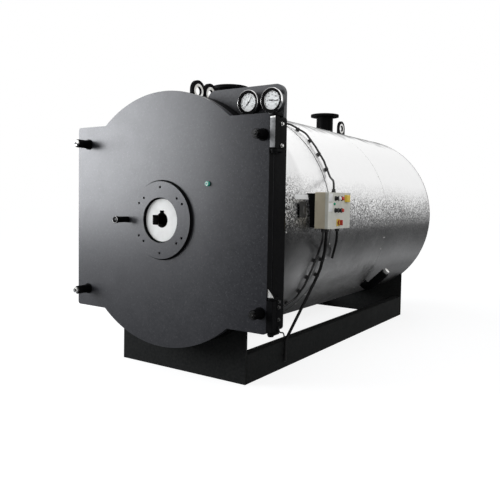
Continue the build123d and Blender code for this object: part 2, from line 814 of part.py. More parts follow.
nodes = {
    "door_plate": make_door_plate(),
    "door_lining": make_door_lining(),
    "burner_ring": make_burner_ring(),
    "burner_plug": make_burner_plug(),
    "sight_tube": make_sight_tube(),
    "test_plug": rod(test_r, test_x, test_z, -test_len, 0),
    "clamp_sleeves": group(*[make_clamp_sleeve(x, z) for x, z in clamp_places()]),
    "clamp_nuts": group(*[make_clamp_nut(x, z) for x, z in clamp_places()]),
    "door_hinges": group(make_door_hinge(-hinge_z), make_door_hinge(hinge_z)),
    "frame_hinges": group(make_frame_hinge(-hinge_z, True), make_frame_hinge(hinge_z, False)),
    "hinge_pins": group(*[make_hinge_pin(z) for z in (-hinge_z, hinge_z)]),
    "front_frame": make_front_frame(),
    "front_tube_plate": make_tube_plate(y_frame_back, True),
    "rear_tube_plate": make_tube_plate(y_vessel_back - tube_plate_t, False),
    "smoke_tubes": make_smoke_tubes(),
    "furnace_tube": ring(furnace_r, furnace_r - furnace_t, y_frame_back, y_frame_back + furnace_len),
    "furnace_end": slab(Circle(furnace_r), y_frame_back + furnace_len,
                        y_frame_back + furnace_len + furnace_end_t),
    "pressure_shell": make_pressure_shell(),
    "insulation": make_insulation(),
    "rear_insulation": make_rear_insulation(),
    "cladding_front": make_cladding(y_clad_front, clad_seam_1 + clad_lap, 0),
    "cladding_middle": make_cladding(clad_seam_1, clad_seam_2, clad_t + nest_gap),
    "cladding_rear": make_cladding(clad_seam_2 - clad_lap, y_clad_back, 0),
    "smoke_box": make_smoke_box(),
    "smoke_box_cover": make_smoke_cover(),
    "flue_spigot": make_flue(),
    "front_saddle": make_saddle(y_frame_back),
    "rear_saddle": make_saddle(rear_saddle_y),
    "base_beams": group(make_beam(-1), make_beam(1)),
    "gauge_panel": make_gauge_panel(),
    "gauge_cases": group(make_gauge(gauge_x_1), make_gauge(gauge_x_2)),
    "gauge_dials": group(*[make_gauge_disc(x, gauge_dial_depth - gauge_dial_t, gauge_dial_t)
                           for x in (gauge_x_1, gauge_x_2)]),
    "gauge_glasses": group(*[make_gauge_disc(x, gauge_glass_depth, gauge_glass_t)
                             for x in (gauge_x_1, gauge_x_2)]),
    "front_nozzle": make_nozzle(nozzle_y_front),
    "rear_nozzle": make_nozzle(nozzle_y_rear),
    "lifting_lugs": group(*[make_lug(y) for y in (lug_y_front, lug_y_second, lug_y_rear)]),
    "control_box": make_cabinet(),
    "control_lid": make_lid(),
    "control_struts": make_struts(),
    "control_switches": make_switches(),
    "isolator_plate": make_isolator_plate(),
    "isolator_handle": make_isolator_handle(),
    "tag_plate": make_tag(),
    "drain_pipe": make_drain(),
    "drain_cap": make_drain_cap(),
    "signal_cable": pipe(signal_points, bend, signal_r),
    "burner_cable": pipe(burner_points, bend, signal_r),
    "trunk_cable": pipe(trunk_points, bend, trunk_r),
    "conduit": pipe(conduit_route(), bend, conduit_r),
    "earth_wire": pipe(earth_route(), bend / 2, earth_r),
    "cable_pads": make_pads(),
}

os.makedirs("parts", exist_ok=True)
for name, shape in nodes.items():
    export_step(place * shape, f"parts/{name}.step")
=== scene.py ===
"""Finishes, small fittings, lights and camera for a horizontal fire-tube boiler.

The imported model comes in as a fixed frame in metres: +X to the hinge side, +Y from the front door to
the rear, +Z up. Each sub-assembly is a class that reads its places from the frame's nodes, dresses
those nodes and adds the small pieces that sit on them.
"""

import logging
import math
from dataclasses import dataclass
from enum import Enum
from typing import Sequence

import bmesh
import bpy
import numpy as np
from mathutils import Matrix, Vector


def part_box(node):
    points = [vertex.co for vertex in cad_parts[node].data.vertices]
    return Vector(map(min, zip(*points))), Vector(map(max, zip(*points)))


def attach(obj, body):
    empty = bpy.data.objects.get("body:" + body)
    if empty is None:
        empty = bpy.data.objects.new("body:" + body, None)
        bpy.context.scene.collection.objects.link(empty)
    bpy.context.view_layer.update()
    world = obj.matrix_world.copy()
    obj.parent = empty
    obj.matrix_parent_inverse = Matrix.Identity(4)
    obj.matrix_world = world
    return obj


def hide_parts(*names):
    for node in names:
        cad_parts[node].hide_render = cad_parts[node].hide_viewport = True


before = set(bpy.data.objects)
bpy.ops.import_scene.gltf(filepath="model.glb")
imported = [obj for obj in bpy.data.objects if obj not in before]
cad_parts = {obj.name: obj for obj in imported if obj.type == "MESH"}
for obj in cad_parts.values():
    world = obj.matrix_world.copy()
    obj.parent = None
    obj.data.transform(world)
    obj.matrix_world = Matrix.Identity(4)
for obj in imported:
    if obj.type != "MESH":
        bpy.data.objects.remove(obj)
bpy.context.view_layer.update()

LOG = logging.getLogger("boiler")
Colour = tuple[float, float, float]
Span = tuple[float, float]
Profile = Sequence[tuple[float, float]]
Socket = bpy.types.NodeSocket
Source = Socket | float | Colour

# Range in which the factor of a noise mostly lies.
NOISE_SPAN = (0.3, 0.7)
# Points closer than this are one point.
SAME = 1e-5
# Play that keeps an added skin off the cladding.
SKIN_PLAY = 0.0003
WHITE = (1.0, 1.0, 1.0)


class Body(Enum):
    """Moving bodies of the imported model."""

    BOILER = "boiler"
    DOOR = "door"
    ISOLATOR = "isolator"


class Facing(Enum):
    """Ways that a small fitting can look, as the direction of its own axis."""

    FRONT = (0.0, -1.0, 0.0)
    REAR = (0.0, 1.0, 0.0)
    RIGHT = (1.0, 0.0, 0.0)
    LEFT = (-1.0, 0.0, 0.0)
    UP = (0.0, 0.0, 1.0)
    DOWN = (0.0, 0.0, -1.0)


class Axis(Enum):
    """Directions of the shared frame."""

    ACROSS = "X"
    ALONG = "Y"
    UP = "Z"


class Joining(Enum):
    """Ways to make one factor of two."""

    ADD = "ADD"
    SUBTRACT = "SUBTRACT"
    MULTIPLY = "MULTIPLY"
    LEAST = "MINIMUM"
    MOST = "MAXIMUM"
    SIZE = "ABSOLUTE"


def grey(level: float) -> Colour:
    """Colour with equal shares of red, green and blue."""
    return (level, level, level)


def shaded(colour: Colour, share: float) -> Colour:
    """Colour at a share of its brightness."""
    return tuple(part * share for part in colour)


class NodeSheet:
    """A node tree with short calls for the nodes that finishes and surroundings share."""

    def __init__(self, tree: bpy.types.NodeTree) -> None:
        """Take a tree and empty it."""
        tree.nodes.clear()
        self.tree = tree

    def feed(self, socket: Socket, source: Source) -> None:
        """Link an output to an input, or give the input a value of its own.

        Args:
            socket: The input.
            source: Output, number or colour.
        """
        if isinstance(source, Socket):
            self.tree.links.new(source, socket)
        else:
            socket.default_value = (*source, 1.0) if socket.type == "RGBA" else source

    def fill(self, node: bpy.types.ShaderNode, **inputs: Source) -> bpy.types.ShaderNode:
        """Feed a node's inputs.

        Args:
            node: The node.
            **inputs: Names of inputs, with underscores for spaces, and what they take.

        Returns:
            The same node.
        """
        for name, source in inputs.items():
            self.feed(node.inputs[name.replace("_", " ")], source)
        return node

    def add(self, kind: str, **inputs: Source) -> bpy.types.ShaderNode:
        """Add a node of a kind, named without the prefix of all shader nodes, and feed its inputs."""
        return self.fill(self.tree.nodes.new(f"ShaderNode{kind}"), **inputs)

    def spread(self, source: Socket, low: float, high: float, start: float = 0.0, end: float = 1.0) -> Socket:
        """Stretch a factor between start and end to run from low to high."""
        node = self.add("MapRange", Value=source, From_Min=start, From_Max=end, To_Min=low, To_Max=high)
        return node.outputs["Result"]

    def calculate(self, how: Joining, first: Source, second: Source = 0.0) -> Socket:
        """Make one factor of two.

        Args:
            how: Kind of sum.
            first: First factor.
            second: Second factor, where the sum has one.

        Returns:
            The result.
        """
        node = self.add("Math")
        node.operation = how.value
        for socket, source in zip(node.inputs, (first, second)):
            self.feed(socket, source)
        return node.outputs["Value"]


class SurfaceSheet(NodeSheet):
    """A material with one surface shader and short calls for the patterns that the finishes share."""

    cell_flow = 0.4
    wall_span = (0.4, 0.6)
    edge_span = (0.52, 0.6)

    def __init__(self, name: str, **inputs: Source) -> None:
        """Start a material.

        Args:
            name: Name of the material.
            **inputs: Inputs of the surface that are the same all over.
        """
        self.material = bpy.data.materials.new(name)
        self.material.use_nodes = True
        super().__init__(self.material.node_tree)
        self.shader = self.add("BsdfPrincipled", **inputs)
        self.add("OutputMaterial", Surface=self.shader.outputs["BSDF"])
        self.place = self.add("TexCoord").outputs["Object"]

    def dress(self, **inputs: Source) -> None:
        """Feed inputs of the surface."""
        self.fill(self.shader, **inputs)

    def noise(self, scale: float, detail: float, stretch: Colour = WHITE) -> Socket:
        """Cloudy noise over the object.

        Args:
            scale: Waves in a metre.
            detail: Number of finer layers.
            stretch: Scale of each axis, to draw the noise out.

        Returns:
            The noise's factor.
        """
        place = self.add("Mapping", Scale=stretch, Vector=self.place).outputs["Vector"]
        return self.add("TexNoise", Scale=scale, Detail=detail, Vector=place).outputs["Fac"]

    def mottle(self, scale: float, detail: float, low: float, high: float) -> Socket:
        """Cloudy noise that runs from low to high."""
        return self.spread(self.noise(scale, detail), low, high, *NOISE_SPAN)

    def cells(self, scale: float) -> Socket:
        """Distance from the middle of rounded cells that flow together.

        Args:
            scale: Cells in a metre.

        Returns:
            The distance.
        """
        node = self.add("TexVoronoi")
        node.feature = "SMOOTH_F1"
        self.fill(node, Scale=scale, Smoothness=self.cell_flow, Vector=self.place)
        return node.outputs["Distance"]

    def grains(self, scale: float) -> Socket:
        """Cells over the object, each with a chance value of its own; scale is cells in a metre."""
        return self.add("TexVoronoi", Scale=scale, Vector=self.place).outputs["Color"]

    def ramp(self, source: Socket, stops: Sequence[tuple[float, Colour]]) -> Socket:
        """Turn a factor into a colour.

        Args:
            source: The factor.
            stops: Places from 0 to 1 with their colours.

        Returns:
            The colour.
        """
        node = self.add("ValToRGB", Fac=source)
        elements = node.color_ramp.elements
        while len(elements) < len(stops):
            elements.new(0.5)
        for element, (position, colour) in zip(elements, stops):
            element.position = position
            element.color = (*colour, 1.0)
        return node.outputs["Color"]

    def blend(self, factor: Socket, first: Source, second: Source) -> Socket:
        """Mix two colours.

        Args:
            factor: Share of the second colour.
            first: Colour or colour output.
            second: Colour or colour output.

        Returns:
            The mixed colour.
        """
        node = self.add("Mix")
        node.data_type = "RGBA"
        self.feed(node.inputs[0], factor)
        for socket, source in ((node.inputs[6], first), (node.inputs[7], second)):
            self.feed(socket, source)
        return node.outputs[2]

    def reach(self, axis: Axis) -> Socket:
        """Distance from the frame's origin along an axis, in metres."""
        return self.add("SeparateXYZ", Vector=self.place).outputs[axis.value]

    def walls(self, share: float) -> Socket:
        """Factor that tells faces that look aside from faces that look along the boiler.

        Args:
            share: Value on the faces that look aside; the others have 0.

        Returns:
            The factor.
        """
        normal = self.add("SeparateXYZ", Vector=self.add("TexCoord").outputs["Normal"])
        along = self.calculate(Joining.SIZE, normal.outputs[Axis.ALONG.value])
        return self.spread(along, share, 0.0, *self.wall_span)

    def edges(self) -> Socket:
        """Factor near 1 on sharp outer edges."""
        return self.spread(self.add("NewGeometry").outputs["Pointiness"], 0.0, 1.0, *self.edge_span)

    def bump(self, source: Socket, strength: float, depth: float) -> None:
        """Raise the surface by a factor, on top of what raises it already.

        Args:
            source: Height factor.
            strength: Share of the bump that shows.
            depth: Height in metres.
        """
        node = self.add("Bump", Strength=strength, Distance=depth, Height=source)
        earlier = self.shader.inputs["Normal"].links
        if earlier:
            self.fill(node, Normal=earlier[0].from_socket)
        self.dress(Normal=node.outputs["Normal"])


@dataclass(frozen=True)
class SatinPaint:
    """Sprayed satin paint with faint clouding, orange peel, metal flecks and rubbed edges."""

    name: str
    colour: Colour
    rubbed: Colour
    rough: float = 0.42
    gloss: float = 0.4
    cloud: float = 0.18
    mottle: float = 0.07
    flecks: float = 0.0
    fleck_colour: Colour = (0.25, 0.25, 0.26)
    fleck_span: Span = (0.8, 0.84)
    # Share of the gloss left on the right: the lower gloss there paints shade on the right side.
    shade_gloss_share: float = 1.0
    shade_gloss_span: Span = (0.25, 0.75)

    def make(self) -> bpy.types.Material:
        """Build the material, with less gloss towards the right, which paints shade on the right side.

        Returns:
            The material.
        """
        sheet = SurfaceSheet(self.name, Metallic=0.0, Specular_IOR_Level=self.gloss)
        # Painted shade: the gloss falls towards the right.
        if self.shade_gloss_share < 1.0:
            right = sheet.reach(Axis.ACROSS)
            fall = sheet.spread(right, self.gloss, self.gloss * self.shade_gloss_share, *self.shade_gloss_span)
            sheet.dress(Specular_IOR_Level=fall)
        shades = (shaded(self.colour, 1 - self.cloud), shaded(self.colour, 1 + self.cloud))
        clouds = sheet.ramp(sheet.noise(scale=3.0, detail=6.0), list(zip(NOISE_SPAN, shades)))
        scuffs = sheet.calculate(Joining.MULTIPLY, sheet.edges(), sheet.noise(scale=60.0, detail=3.0))
        flecks = sheet.spread(sheet.grains(scale=130.0), 0.0, self.flecks, *self.fleck_span)
        worn = sheet.blend(scuffs, clouds, self.rubbed)
        roughness = sheet.mottle(9.0, 5.0, self.rough - self.mottle, self.rough + self.mottle)
        sheet.dress(Base_Color=sheet.blend(flecks, worn, self.fleck_colour), Roughness=roughness)
        sheet.bump(sheet.noise(scale=220.0, detail=2.0), strength=0.12, depth=0.0006)
        return sheet.material


@dataclass(frozen=True)
class StuccoAluminium:
    """Embossed aluminium with painted light and shade: a painted reflection above the middle, painted shade
    below it, behind the frame and along the bottom, and dust with a painted line of shade on top.

    A level runs from 0 to 1 over the span below and above the axis, and greys pairs levels with greys, which
    paint reflection and shade by height.
    """

    name: str
    axis_height: float
    front_y: float
    top_height: float
    span: float = 0.5
    cells_per_metre: float = 115.0
    # Painted reflection and painted shade by height: light above the axis, dark below it.
    greys: Profile = ((0.0, 0.5), (0.06, 0.7), (0.12, 0.74), (0.19, 0.58), (0.27, 0.35), (0.36, 0.2),
                      (0.46, 0.13), (0.53, 0.18), (0.57, 0.42), (0.65, 0.66), (0.8, 0.87))
    # Painted shade near the frame: the level dips there.
    front_dip: float = 0.07
    front_reach: Span = (0.1, 0.8)
    dip_levels: Span = (0.57, 0.8)
    # Painted glints: speckle in the band between light and dark.
    speckle: float = 0.16
    speckle_span: Span = (0.25, 0.75)
    speckle_starts: Span = (0.36, 0.46)
    speckle_ends: Span = (0.6, 0.8)
    speckle_left: float = 0.2
    patchy: float = 0.03
    shade: float = 0.12
    shade_reach: float = 0.34
    shade_ends: Span = (0.5, 0.7)
    shade_least: float = 0.87
    # Painted shade along the bottom.
    under_share: float = 0.1
    under_drop: Span = (0.74, 0.54)
    # Colour of the painted shade behind the frame and along the bottom.
    painted_shade: Colour = grey(0.02)
    # Dust on the top line, which also paints a line of shade along the top silhouette.
    dust: tuple[Colour, Colour] = ((0.24, 0.24, 0.235), (0.44, 0.44, 0.43))
    dust_and_shade_span: Span = (0.35, 0.65)
    dust_and_shade_drop: Span = (0.12, 0.04)
    dust_and_shade_drift: float = 0.04
    dust_and_shade_metal: float = 0.1
    rough: Span = (0.3, 0.46)

    def make(self) -> bpy.types.Material:
        """Build the material.

        Returns:
            The material.
        """
        sheet = SurfaceSheet(self.name, Specular_IOR_Level=0.0)
        level = self.painted_light_level(sheet)
        # Painted reflection and painted shade: the greys run by height.
        sheen = sheet.ramp(level, [(rise, grey(value)) for rise, value in self.greys])
        # Painted shade behind the frame and along the bottom.
        sheen = sheet.blend(self.unshaded_share(sheet, level), self.painted_shade, sheen)
        # Dust on the top line, which also paints a line of shade along the top silhouette.
        drift = sheet.calculate(Joining.ADD, sheet.reach(Axis.UP),
                                sheet.mottle(7.0, 8.0, -self.dust_and_shade_drift, self.dust_and_shade_drift))
        dust_and_shade_film = sheet.ramp(sheet.noise(scale=24.0, detail=8.0), list(zip(self.dust_and_shade_span, self.dust)))
        top = [self.top_height - drop for drop in self.dust_and_shade_drop]
        sheet.dress(Base_Color=sheet.blend(sheet.spread(drift, 0.0, 1.0, *top), sheen, dust_and_shade_film),
                    Metallic=sheet.spread(drift, 1.0, self.dust_and_shade_metal, *top),
                    Roughness=sheet.mottle(14.0, 4.0, *self.rough))
        sheet.bump(sheet.cells(self.cells_per_metre), strength=0.55, depth=0.0022)
        sheet.bump(sheet.noise(scale=1.6, detail=2.0), strength=0.25, depth=0.012)
        return sheet.material

    def painted_light_level(self, sheet: SurfaceSheet) -> Socket:
        """Level of painted light and shade on the skin, lowered near the frame as painted shade and broken up
        by a speckle of painted glints and by patches.

        Args:
            sheet: The material.

        Returns:
            The level.
        """
        level = sheet.spread(sheet.reach(Axis.UP), 0.0, 1.0,
                             self.axis_height - self.span, self.axis_height + self.span)
        front = sheet.spread(sheet.reach(Axis.ALONG), self.front_dip, 0.0,
                             *(self.front_y + reach for reach in self.front_reach))
        dip = sheet.calculate(Joining.MULTIPLY, front, sheet.spread(level, 0.0, 1.0, *self.dip_levels))
        level = sheet.calculate(Joining.SUBTRACT, level, dip)
        band = sheet.calculate(Joining.MULTIPLY, sheet.spread(level, 0.0, 1.0, *self.speckle_starts),
                               sheet.spread(level, 1.0, self.speckle_left, *self.speckle_ends))
        grains = sheet.spread(sheet.grains(self.cells_per_metre), -self.speckle, self.speckle,
                              *self.speckle_span)
        speckle = sheet.calculate(Joining.MULTIPLY, grains, band)
        patches = sheet.mottle(2.2, 5.0, -self.patchy, self.patchy)
        return sheet.calculate(Joining.ADD, sheet.calculate(Joining.ADD, level, speckle), patches)

    def unshaded_share(self, sheet: SurfaceSheet, level: Socket) -> Socket:
        """Share of the skin that is free of painted shade, which lies behind the frame and along the bottom.

        Args:
            sheet: The material.
            level: Level on the skin.

        Returns:
            The share.
        """
        near = sheet.spread(sheet.reach(Axis.ALONG), self.shade, 1.0,
                            self.front_y, self.front_y + self.shade_reach)
        high = sheet.spread(level, 0.0, self.shade_least, *self.shade_ends)
        low = sheet.spread(sheet.reach(Axis.UP), self.under_share, 1.0,
                           *(self.axis_height - drop for drop in self.under_drop))
        return sheet.calculate(Joining.LEAST, sheet.calculate(Joining.MOST, near, high), low)


@dataclass(frozen=True)
class BareMetal:
    """Plain, zinc plated or polished metal with fine scratches and faint tarnish."""

    name: str
    colour: Colour
    tarnish: Colour
    rough: float = 0.28
    smoother: float = 0.08
    rougher: float = 0.12
    tarnish_span: Span = (0.35, 0.62)
    drawn: Colour = (1.0, 1.0, 9.0)

    def make(self) -> bpy.types.Material:
        """Build the material.

        Returns:
            The material.
        """
        sheet = SurfaceSheet(self.name, Metallic=1.0)
        stops = list(zip(self.tarnish_span, (self.tarnish, self.colour)))
        scratches = sheet.noise(scale=90.0, detail=5.0, stretch=self.drawn)
        span = (self.rough - self.smoother, self.rough + self.rougher)
        sheet.dress(Base_Color=sheet.ramp(sheet.noise(scale=35.0, detail=6.0), stops),
                    Roughness=sheet.spread(scratches, *span, *NOISE_SPAN))
        sheet.bump(scratches, strength=0.1, depth=0.0004)
        return sheet.material


@dataclass(frozen=True)
class SideShadedMetal:
    """Plated metal that is bright towards the left and black towards the right, which paints shade on the
    right-hand clamps.
    """

    name: str
    bright: Colour
    right_shade: Colour
    span: Span
    rough: float = 0.3
    smoother: float = 0.08
    rougher: float = 0.12
    worn: float = 0.8
    worn_span: Span = (0.3, 0.6)

    def make(self) -> bpy.types.Material:
        """Build the material.

        Returns:
            The material.
        """
        sheet = SurfaceSheet(self.name, Metallic=1.0)
        # Painted shade: the colour turns black towards the right.
        shift = sheet.spread(sheet.reach(Axis.ACROSS), 0.0, 1.0, *self.span)
        stops = list(zip(self.worn_span, (shaded(self.bright, self.worn), self.bright)))
        worn = sheet.ramp(sheet.noise(scale=35.0, detail=6.0), stops)
        sheet.dress(Base_Color=sheet.blend(shift, worn, self.right_shade),
                    Roughness=sheet.mottle(90.0, 5.0, self.rough - self.smoother, self.rough + self.rougher))
        sheet.bump(sheet.noise(scale=160.0, detail=3.0), strength=0.1, depth=0.0004)
        return sheet.material


@dataclass(frozen=True)
class MillScale:
    """Dark rolled steel with scale, rust bloom and soot."""

    name: str
    colour: Colour
    rust: Colour
    metal: float = 0.55
    scale_shade: float = 0.6
    bloom: float = 0.8
    bloom_span: Span = (0.5, 0.75)
    rough: Span = (0.5, 0.85)

    def make(self) -> bpy.types.Material:
        """Build the material.

        Returns:
            The material.
        """
        sheet = SurfaceSheet(self.name, Metallic=self.metal)
        bloom = sheet.spread(sheet.noise(scale=7.0, detail=8.0), 0.0, self.bloom, *self.bloom_span)
        stops = list(zip(NOISE_SPAN, (shaded(self.colour, self.scale_shade), self.colour)))
        scale = sheet.ramp(sheet.noise(scale=45.0, detail=6.0), stops)
        sheet.dress(Base_Color=sheet.blend(bloom, scale, self.rust),
                    Roughness=sheet.mottle(25.0, 5.0, *self.rough))
        sheet.bump(sheet.noise(scale=160.0, detail=6.0), strength=0.3, depth=0.001)
        return sheet.material


@dataclass(frozen=True)
class FireClay:
    """Cast refractory or pressed fibre board: pale, chalky and pitted."""

    name: str
    colour: Colour
    shade: Colour
    grain: float = 150.0
    # Share of black painted shade on the walls that look aside, as in a deep gap.
    painted_shade: float = 0.0
    painted_shade_colour: Colour = grey(0.006)
    gloss: float = 0.2
    patch_span: Span = (0.3, 0.6)
    pit_depth: float = 0.18
    pit_r: float = 0.35
    rough: Span = (0.8, 0.95)

    def make(self) -> bpy.types.Material:
        """Build the material, with black painted shade on the walls that don't look along the boiler.

        Returns:
            The material.
        """
        sheet = SurfaceSheet(self.name, Metallic=0.0, Specular_IOR_Level=self.gloss)
        stops = list(zip(self.patch_span, (self.shade, self.colour)))
        patches = sheet.ramp(sheet.noise(scale=12.0, detail=7.0), stops)
        pits = sheet.spread(sheet.cells(self.grain), 1.0, 0.0, 0.0, self.pit_r)
        chalk = sheet.blend(sheet.calculate(Joining.MULTIPLY, pits, self.pit_depth), patches, self.shade)
        # Painted shade on the walls that look aside.
        sheet.dress(Base_Color=sheet.blend(sheet.walls(self.painted_shade), chalk, self.painted_shade_colour),
                    Roughness=sheet.spread(sheet.noise(scale=30.0, detail=3.0), *self.rough))
        sheet.bump(sheet.noise(self.grain, detail=8.0), strength=0.4, depth=0.0015)
        return sheet.material


@dataclass(frozen=True)
class MouldedPlastic:
    """Moulded plastic or powder coat with a fine grain and faint soiling."""

    name: str
    colour: Colour
    soil: Colour
    rough: float = 0.45
    gloss: float = 0.4
    smoother: float = 0.06
    rougher: float = 0.1
    soil_span: Span = (0.28, 0.55)

    def make(self) -> bpy.types.Material:
        """Build the material.

        Returns:
            The material.
        """
        sheet = SurfaceSheet(self.name, Metallic=0.0, Specular_IOR_Level=self.gloss)
        stops = list(zip(self.soil_span, (self.soil, self.colour)))
        sheet.dress(Base_Color=sheet.ramp(sheet.noise(scale=18.0, detail=6.0), stops),
                    Roughness=sheet.mottle(40.0, 4.0, self.rough - self.smoother, self.rough + self.rougher))
        sheet.bump(sheet.noise(scale=420.0, detail=2.0), strength=0.15, depth=0.0004)
        return sheet.material


@dataclass(frozen=True)
class RibbedHose:
    """Black plastic conduit with rings pressed into it along its drop."""

    name: str
    colour: Colour
    sheen: Colour
    pitch: float = 0.009
    wave_per_pitch: float = 0.314
    wobble: float = 0.6
    gloss: float = 0.12
    rough: Span = (0.42, 0.6)
    sheen_span: Span = (0.2, 0.95)

    def make(self) -> bpy.types.Material:
        """Build the material.

        Returns:
            The material.
        """
        sheet = SurfaceSheet(self.name, Metallic=0.0, Specular_IOR_Level=self.gloss)
        node = sheet.add("TexWave", Scale=self.wave_per_pitch / self.pitch, Distortion=self.wobble,
                         Vector=sheet.place)
        node.bands_direction = Axis.UP.value
        rings = node.outputs["Fac"]
        sheet.dress(Base_Color=sheet.ramp(rings, list(zip(self.sheen_span, (self.colour, self.sheen)))),
                    Roughness=sheet.mottle(30.0, 4.0, *self.rough))
        sheet.bump(rings, strength=0.7, depth=0.002)
        return sheet.material


@dataclass(frozen=True)
class ClearGlass:
    """Gauge glass with faint smears."""

    name: str
    bend: float = 1.3
    smear: float = 0.06
    smear_span: Span = (0.4, 0.8)

    def make(self) -> bpy.types.Material:
        """Build the material.

        Returns:
            The material.
        """
        sheet = SurfaceSheet(self.name, Base_Color=WHITE, Transmission_Weight=1.0, IOR=self.bend)
        smears = sheet.noise(scale=40.0, detail=4.0)
        sheet.dress(Roughness=sheet.spread(smears, 0.0, self.smear, *self.smear_span))
        return sheet.material


class Finishes:
    """All finishes of the boiler, made once and handed out by name."""

    def __init__(self, axis_height: float, front_y: float, top_height: float) -> None:
        """Make the materials.

        Args:
            axis_height: Height of the boiler's axis, where the cladding's painted shade of the lower half
                starts.
            front_y: Where the cladding starts behind the front frame.
            top_height: Height of the cladding's top line, where dust and a painted line of shade lie.
        """
        recipes = (
            # The door's gloss falls towards the right as painted shade on its right side.
            SatinPaint("door_paint", (0.0065, 0.0074, 0.0098), (0.03, 0.03, 0.034), rough=0.33, gloss=0.45,
                       cloud=0.1, mottle=0.02, flecks=0.07, shade_gloss_share=0.4),
            SatinPaint("frame_paint", (0.0022, 0.0022, 0.0024), (0.008, 0.008, 0.0085), rough=0.5,
                       gloss=0.02),
            SatinPaint("panel_paint", (0.032, 0.033, 0.036), (0.09, 0.09, 0.095), rough=0.44, gloss=0.35),
            SatinPaint("base_paint", (0.004, 0.0053, 0.0056), (0.025, 0.025, 0.024), rough=0.52, gloss=0.05),
            # Lighter grey paint on the front of the upper hinge knuckle: a painted highlight.
            SatinPaint("hinge_steel", (0.1, 0.101, 0.104), grey(0.4), rough=0.45, gloss=0.3),
            FireClay("refractory", (0.62, 0.57, 0.48), (0.4, 0.36, 0.3), grain=90.0),
            # The fibre board's side walls in the burner opening carry painted shade.
            FireClay("fibre_board", (0.86, 0.86, 0.83), (0.76, 0.75, 0.71), painted_shade=1.0),
            MouldedPlastic("plug_paint", (0.05, 0.42, 0.3), (0.03, 0.3, 0.22)),
            BareMetal("bright_steel", (0.78, 0.78, 0.77), (0.5, 0.49, 0.46)),
            # The clamp steel turns black on the right-hand clamps as painted shade.
            SideShadedMetal("clamp_steel", (0.8, 0.8, 0.79), grey(0.03), span=(-0.2, 0.2)),
            BareMetal("dull_steel", grey(0.16), grey(0.07), rough=0.45),
            BareMetal("chrome", grey(0.9), grey(0.72), rough=0.14),
            MillScale("boiler_steel", (0.12, 0.11, 0.105), (0.2, 0.1, 0.05)),
            FireClay("mineral_wool", (0.55, 0.48, 0.3), (0.36, 0.3, 0.17), grain=240.0),
            StuccoAluminium("stucco_aluminium", axis_height, front_y, top_height),
            MouldedPlastic("gauge_black", (0.012, 0.012, 0.013), grey(0.022), rough=0.35),
            MouldedPlastic("well_black", grey(0.003), grey(0.005), rough=0.6, gloss=0.04),
            MouldedPlastic("dial_white", (0.86, 0.88, 0.88), (0.8, 0.82, 0.82), rough=0.5),
            MouldedPlastic("dial_ink", (0.015, 0.015, 0.018), grey(0.03), rough=0.6),
            ClearGlass("gauge_glass"),
            MouldedPlastic("box_beige", (0.56, 0.5, 0.375), (0.5, 0.445, 0.33)),
            MouldedPlastic("lid_grey", (0.66, 0.66, 0.59), (0.58, 0.58, 0.52)),
            # Grey of the painted shadow line along the cladding's seams.
            MouldedPlastic("seam_shade_grey", grey(0.12), grey(0.08), rough=0.6),
            MouldedPlastic("switch_black", grey(0.012), grey(0.03), rough=0.38),
            MouldedPlastic("cap_white", (0.85, 0.85, 0.84), (0.74, 0.74, 0.72), rough=0.32),
            MouldedPlastic("cap_red", (0.55, 0.04, 0.02), (0.4, 0.03, 0.02), rough=0.32),
            MouldedPlastic("cap_green", (0.02, 0.3, 0.17), (0.02, 0.22, 0.12), rough=0.3),
            MouldedPlastic("isolator_yellow", (0.8, 0.58, 0.08), (0.68, 0.48, 0.06)),
            MouldedPlastic("isolator_red", (0.5, 0.03, 0.02), (0.4, 0.03, 0.02)),
            MouldedPlastic("tag_metal", grey(0.02), grey(0.012), rough=0.5),
            MouldedPlastic("tag_rim", (0.88, 0.88, 0.87), (0.8, 0.8, 0.79), rough=0.4),
            MouldedPlastic("cable_black", grey(0.009), grey(0.02), rough=0.5),
            RibbedHose("hose_black", grey(0.003), grey(0.016)),
        )
        self.materials = {recipe.name: recipe.make() for recipe in recipes}

    def coat(self, finish: str, *nodes: str) -> None:
        """Give carried-over nodes a finish.

        Args:
            finish: Name of the finish.
            *nodes: Names of the nodes.
        """
        for name in nodes:
            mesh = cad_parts[name].data
            if not mesh.materials:
                mesh.materials.append(self.materials[finish])
            for index in range(len(mesh.materials)):
                mesh.materials[index] = self.materials[finish]


def turns(count: int, ahead: float = 0.0) -> list[float]:
    """Evenly spaced angles round a full turn, moved ahead by a share of a step."""
    return [2 * math.pi * (index + ahead) / count for index in range(count)]


def around(turn: float) -> Vector:
    """Direction out of the boiler's axis, at an angle up from the right side."""
    return Vector((math.cos(turn), 0.0, math.sin(turn)))


def disc(radius: float, start: float, end: float) -> Profile:
    """Profile of a flat disc between two heights."""
    return [(0.0, start), (radius, start), (radius, end), (0.0, end)]


def pin(radius: float, start: float, shoulder: float, end: float, tip: float) -> Profile:
    """Profile of a pin that tapers from a shoulder to the radius of its tip."""
    return [(0.0, start), (radius, start), (radius, shoulder), (tip, end), (0.0, end)]


def band(inner: float, outer: float, start: float, end: float) -> Profile:
    """Closed profile of a ring between two radii and two heights."""
    return [(inner, start), (outer, start), (outer, end), (inner, end), (inner, start)]


def sized(radius: float, shape: Profile) -> Profile:
    """Profile from shares of a radius, with heights in metres."""
    return [(share * radius, rise) for share, rise in shape]


def stand(point: Vector, facing: Vector | Facing, spin: float = 0.0) -> Matrix:
    """Frame at a point whose own Z axis looks along a direction.

    Args:
        point: Origin of the frame.
        facing: Direction of its Z axis.
        spin: Turn about that axis in radians.

    Returns:
        The frame as a matrix.
    """
    along = Vector(facing.value if isinstance(facing, Facing) else facing).normalized()
    turn = along.to_track_quat("Z", "Y").to_matrix().to_4x4()
    return Matrix.Translation(point) @ turn @ Matrix.Rotation(spin, 4, "Z")


